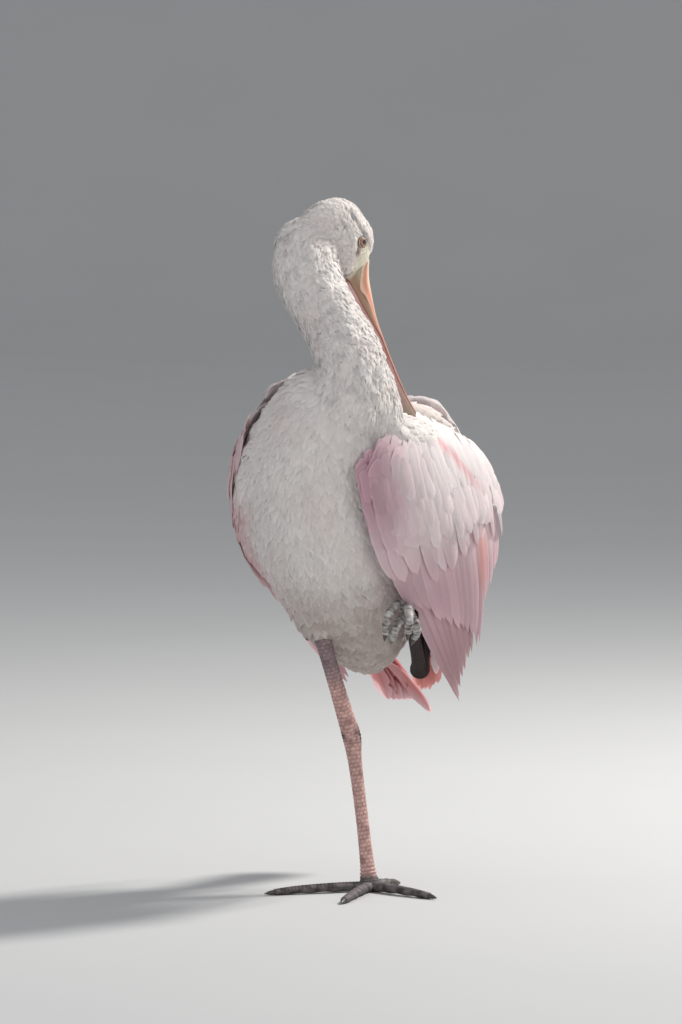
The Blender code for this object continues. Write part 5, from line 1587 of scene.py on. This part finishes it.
def add_toe(shape, claws, points, radius, tip_radius, seed, tint_pair, flat=0.85, claw=CLAW_LENGTH):
    """A toe with scales above, pads below and its claw as a form of its own."""
    points = np.array(points, float)
    route = Route(points, np.linspace(radius * 2, tip_radius * 2, len(points)))
    shares = np.linspace(0, 1, int(route.length / RING_GAP))
    turn = np.linspace(0, math.tau, 28, endpoint=False)[None]
    along = shares[:, None] * route.length
    pitch = 3.0
    v = along / pitch - np.floor(along / pitch)
    plates = step(0, 0.25, np.minimum(v, 1 - v)) * np.ones_like(turn)
    upper = step(-0.2, 0.5, np.sin(turn))
    pads = 0.5 * np.sin(along / route.length * math.pi * 4) ** 2 * (1 - upper)
    pebbles = scute_relief(along, turn, 1.6, 16, seed)
    relief = (0.3 * plates * upper + 0.22 * pebbles * (1 - upper) + pads - 0.2) * MM
    grid = tube_grid(route, shares, 28, (1, 0, 0), relief, flat)
    lit = plates * upper + pebbles * (1 - upper)
    patches = ripples(grid.reshape(-1, 3), 0.007, seed).reshape(grid.shape[:2])
    tint = mixed(tint_pair[1], tint_pair[0], np.clip(0.30 + 0.50 * lit + 0.5 * patches, 0, 1))
    grid[..., 2] = np.maximum(grid[..., 2], 0)
    add_closed_grid(shape, grid, tint)
    heading = unit(points[-1] - points[-2])
    down = np.array((0, 0, -0.35)) * tip_radius / 3
    nail = Route((points[-1] - heading * 2, points[-1] + heading * claw * 0.5 + down * 0.3,
                  points[-1] + heading * claw + down), (tip_radius * 1.5, tip_radius * 1.1, 0.6))
    add_closed_grid(claws, tube_grid(nail, np.linspace(0, 1, 16), 14, (1, 0, 0)), CLAW)


def make_feet(material, claw_horn):
    foot, claws = Shape(), Shape()
    for number, (knuckle, middle, tip) in enumerate(TOES):
        points = [(0, 0, 3.9), (*knuckle, 4.4), (*middle, 3.6), (*tip, 2.5)]
        add_toe(foot, claws, points, 4.5, 2.9, 50 + number, (FOOT_PALE, FOOT_DARK))
    route = Route(((0, 0, 0.4), (0, 0, 2), (-0.2, 0.1, 6), (-0.5, 0.4, 10.5)), (16, 18, 16.4, 14))
    shares = np.linspace(0, 1, 30)
    turn = np.linspace(0, math.tau, 40, endpoint=False)[None]
    pebbles = scute_relief(shares[:, None] * route.length, turn, 1.8, 20, 61)
    grid = tube_grid(route, shares, 40, (1, 0, 0), (0.3 * pebbles - 0.3) * MM)
    grid[..., 2] = np.maximum(grid[..., 2], 0)
    add_closed_grid(foot, grid, leg_tint(FOOT_PALE, FOOT_DARK, grid, pebbles, 62))
    foot.build("foot_skin_right", material, ("foot_right",), "dark skin")
    claws.build("claws_right", claw_horn, slot="dark skin")


def make_raised_leg(material, claw_horn):
    shape, claws = Shape(), Shape()
    ankle, base = np.array(LEFT_ANKLE, float), np.array(LEFT_TOE_BASE, float)
    knee = np.array(LEFT_KNEE, float)
    drop, lift = unit(ankle - knee), unit(base - ankle)
    bend = 0.5 * (unit(knee - ankle) + lift)
    lower = Route((knee + drop * 4, knee + drop * 28, ankle - drop * 14, ankle - drop * 2),
                  (18, 13, 12.5, 15.5))
    upper = Route((ankle - drop, ankle + lift * 14, ankle + lift * 50, base - lift * 12, base + lift * 3),
                  (15.5, 11, 9.6, 10.2, 12.5))
    # Painted shade: the raised leg and its ankle are coloured near black for the wing's shadow over them
    for route, seed in ((lower, 71), (upper, 72)):
        shares = np.linspace(0, 1, int(route.length / RING_GAP))
        turn = np.linspace(0, math.tau, 36, endpoint=False)[None]
        along = shares[:, None] * route.length
        scales = scute_relief(along, turn, 3.0, 9, seed)
        grid = tube_grid(route, shares, 36, (1, 0, 0), (0.34 * scales - 0.2) * MM)
        add_closed_grid(shape, grid, leg_tint(RAISED_LEG_SHADE, RAISED_LEG_DEEP_SHADE, grid, scales, seed + 1))
    knob = Route((ankle + bend * 5, ankle, ankle - bend * 8), (8, 15.5, 6))
    grid = tube_grid(knob, np.linspace(0, 1, 24), 32, (1, 0, 0))
    add_closed_grid(shape, grid, RAISED_LEG_SHADE)
    middle = base + lift * 5.3
    # Painted sunlight: the raised toes are pale, with painted shade between their scales
    for number, (knuckle, curl, tip) in enumerate(RAISED_TOES):
        points = [middle, middle + knuckle, middle + curl, middle + tip]
        add_toe(shape, claws, points, 3.7, 2.7, 80 + number, (RAISED_TOE_SUNLIT, RAISED_TOE_SHADE),
                claw=RAISED_CLAW_LENGTH)
    shape.build("leg_left", material, ("tarsus_left", "shank_left", "foot_left"), "dark skin")
    claws.build("claws_left", claw_horn, slot="dark skin")


def make_floor():
    """A pale floor that curves up into the wall behind."""
    across = np.linspace(-FLOOR_HALF_WIDTH, FLOOR_HALF_WIDTH, 25)
    run = np.linspace(0, 1, 49)
    bend = WALL_LEAN * step(*WALL_BEND, run)
    lengths = np.diff(run, prepend=0) * FLOOR_LENGTH
    depth, height = FLOOR_FRONT + np.cumsum(lengths * np.cos(bend)), np.cumsum(lengths * np.sin(bend))
    points = np.stack(np.broadcast_arrays(across[None], depth[:, None], height[:, None]), axis=-1)
    mesh = bpy.data.meshes.new("floor")
    faces = grid_faces(len(run), len(across), closed=False)[:, ::-1]
    mesh.from_pydata(points.reshape(-1, 3).tolist(), [], faces.tolist())
    mesh.polygons.foreach_set("use_smooth", np.ones(len(mesh.polygons), bool))
    mesh.materials.append(floor_material())
    floor = bpy.data.objects.new("floor", mesh)
    bpy.context.scene.collection.objects.link(floor)


def aim(thing, place, target):
    direction = Vector(target) - Vector(place)
    thing.location = place
    thing.rotation_euler = direction.to_track_quat("-Z", "Y").to_euler()


def make_light(name, place, size, power, colour):
    light = bpy.data.lights.new(name, "AREA")
    light.shape = "DISK"
    light.size = size
    light.energy = power
    light.color = colour
    lamp = bpy.data.objects.new(name, light)
    bpy.context.scene.collection.objects.link(lamp)
    aim(lamp, place, LIGHTS_TARGET)


def make_studio():
    make_floor()
    for light in LIGHTS:
        make_light(*light)
    world = bpy.data.worlds.new("studio")
    world.use_nodes = True
    sky = world.node_tree.nodes["Background"].inputs
    sky["Color"].default_value = SKY
    sky["Strength"].default_value = SKY_STRENGTH
    bpy.context.scene.world = world
    bpy.context.scene.view_settings.view_transform = "Standard"


def make_camera():
    camera = bpy.data.cameras.new("camera")
    camera.lens = LENS
    camera.sensor_width = SENSOR_WIDTH
    view = bpy.data.objects.new("camera", camera)
    bpy.context.scene.collection.objects.link(view)
    target = mm(CAMERA_TARGET)
    back = np.array((0, -math.cos(CAMERA_ELEVATION), math.sin(CAMERA_ELEVATION)))
    aim(view, tuple(target + back * CAMERA_DISTANCE), tuple(target))
    bpy.context.scene.camera = view


def main():
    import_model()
    skin = make_skin(skin_material())
    make_coat(skin)
    make_feathers()
    make_bill()
    for side in (1, -1):
        make_eye(side)
    scales, horn = scale_material(), claw_material()
    make_standing_leg(scales)
    make_feet(scales, horn)
    make_raised_leg(scales, horn)
    make_studio()
    make_camera()


main()
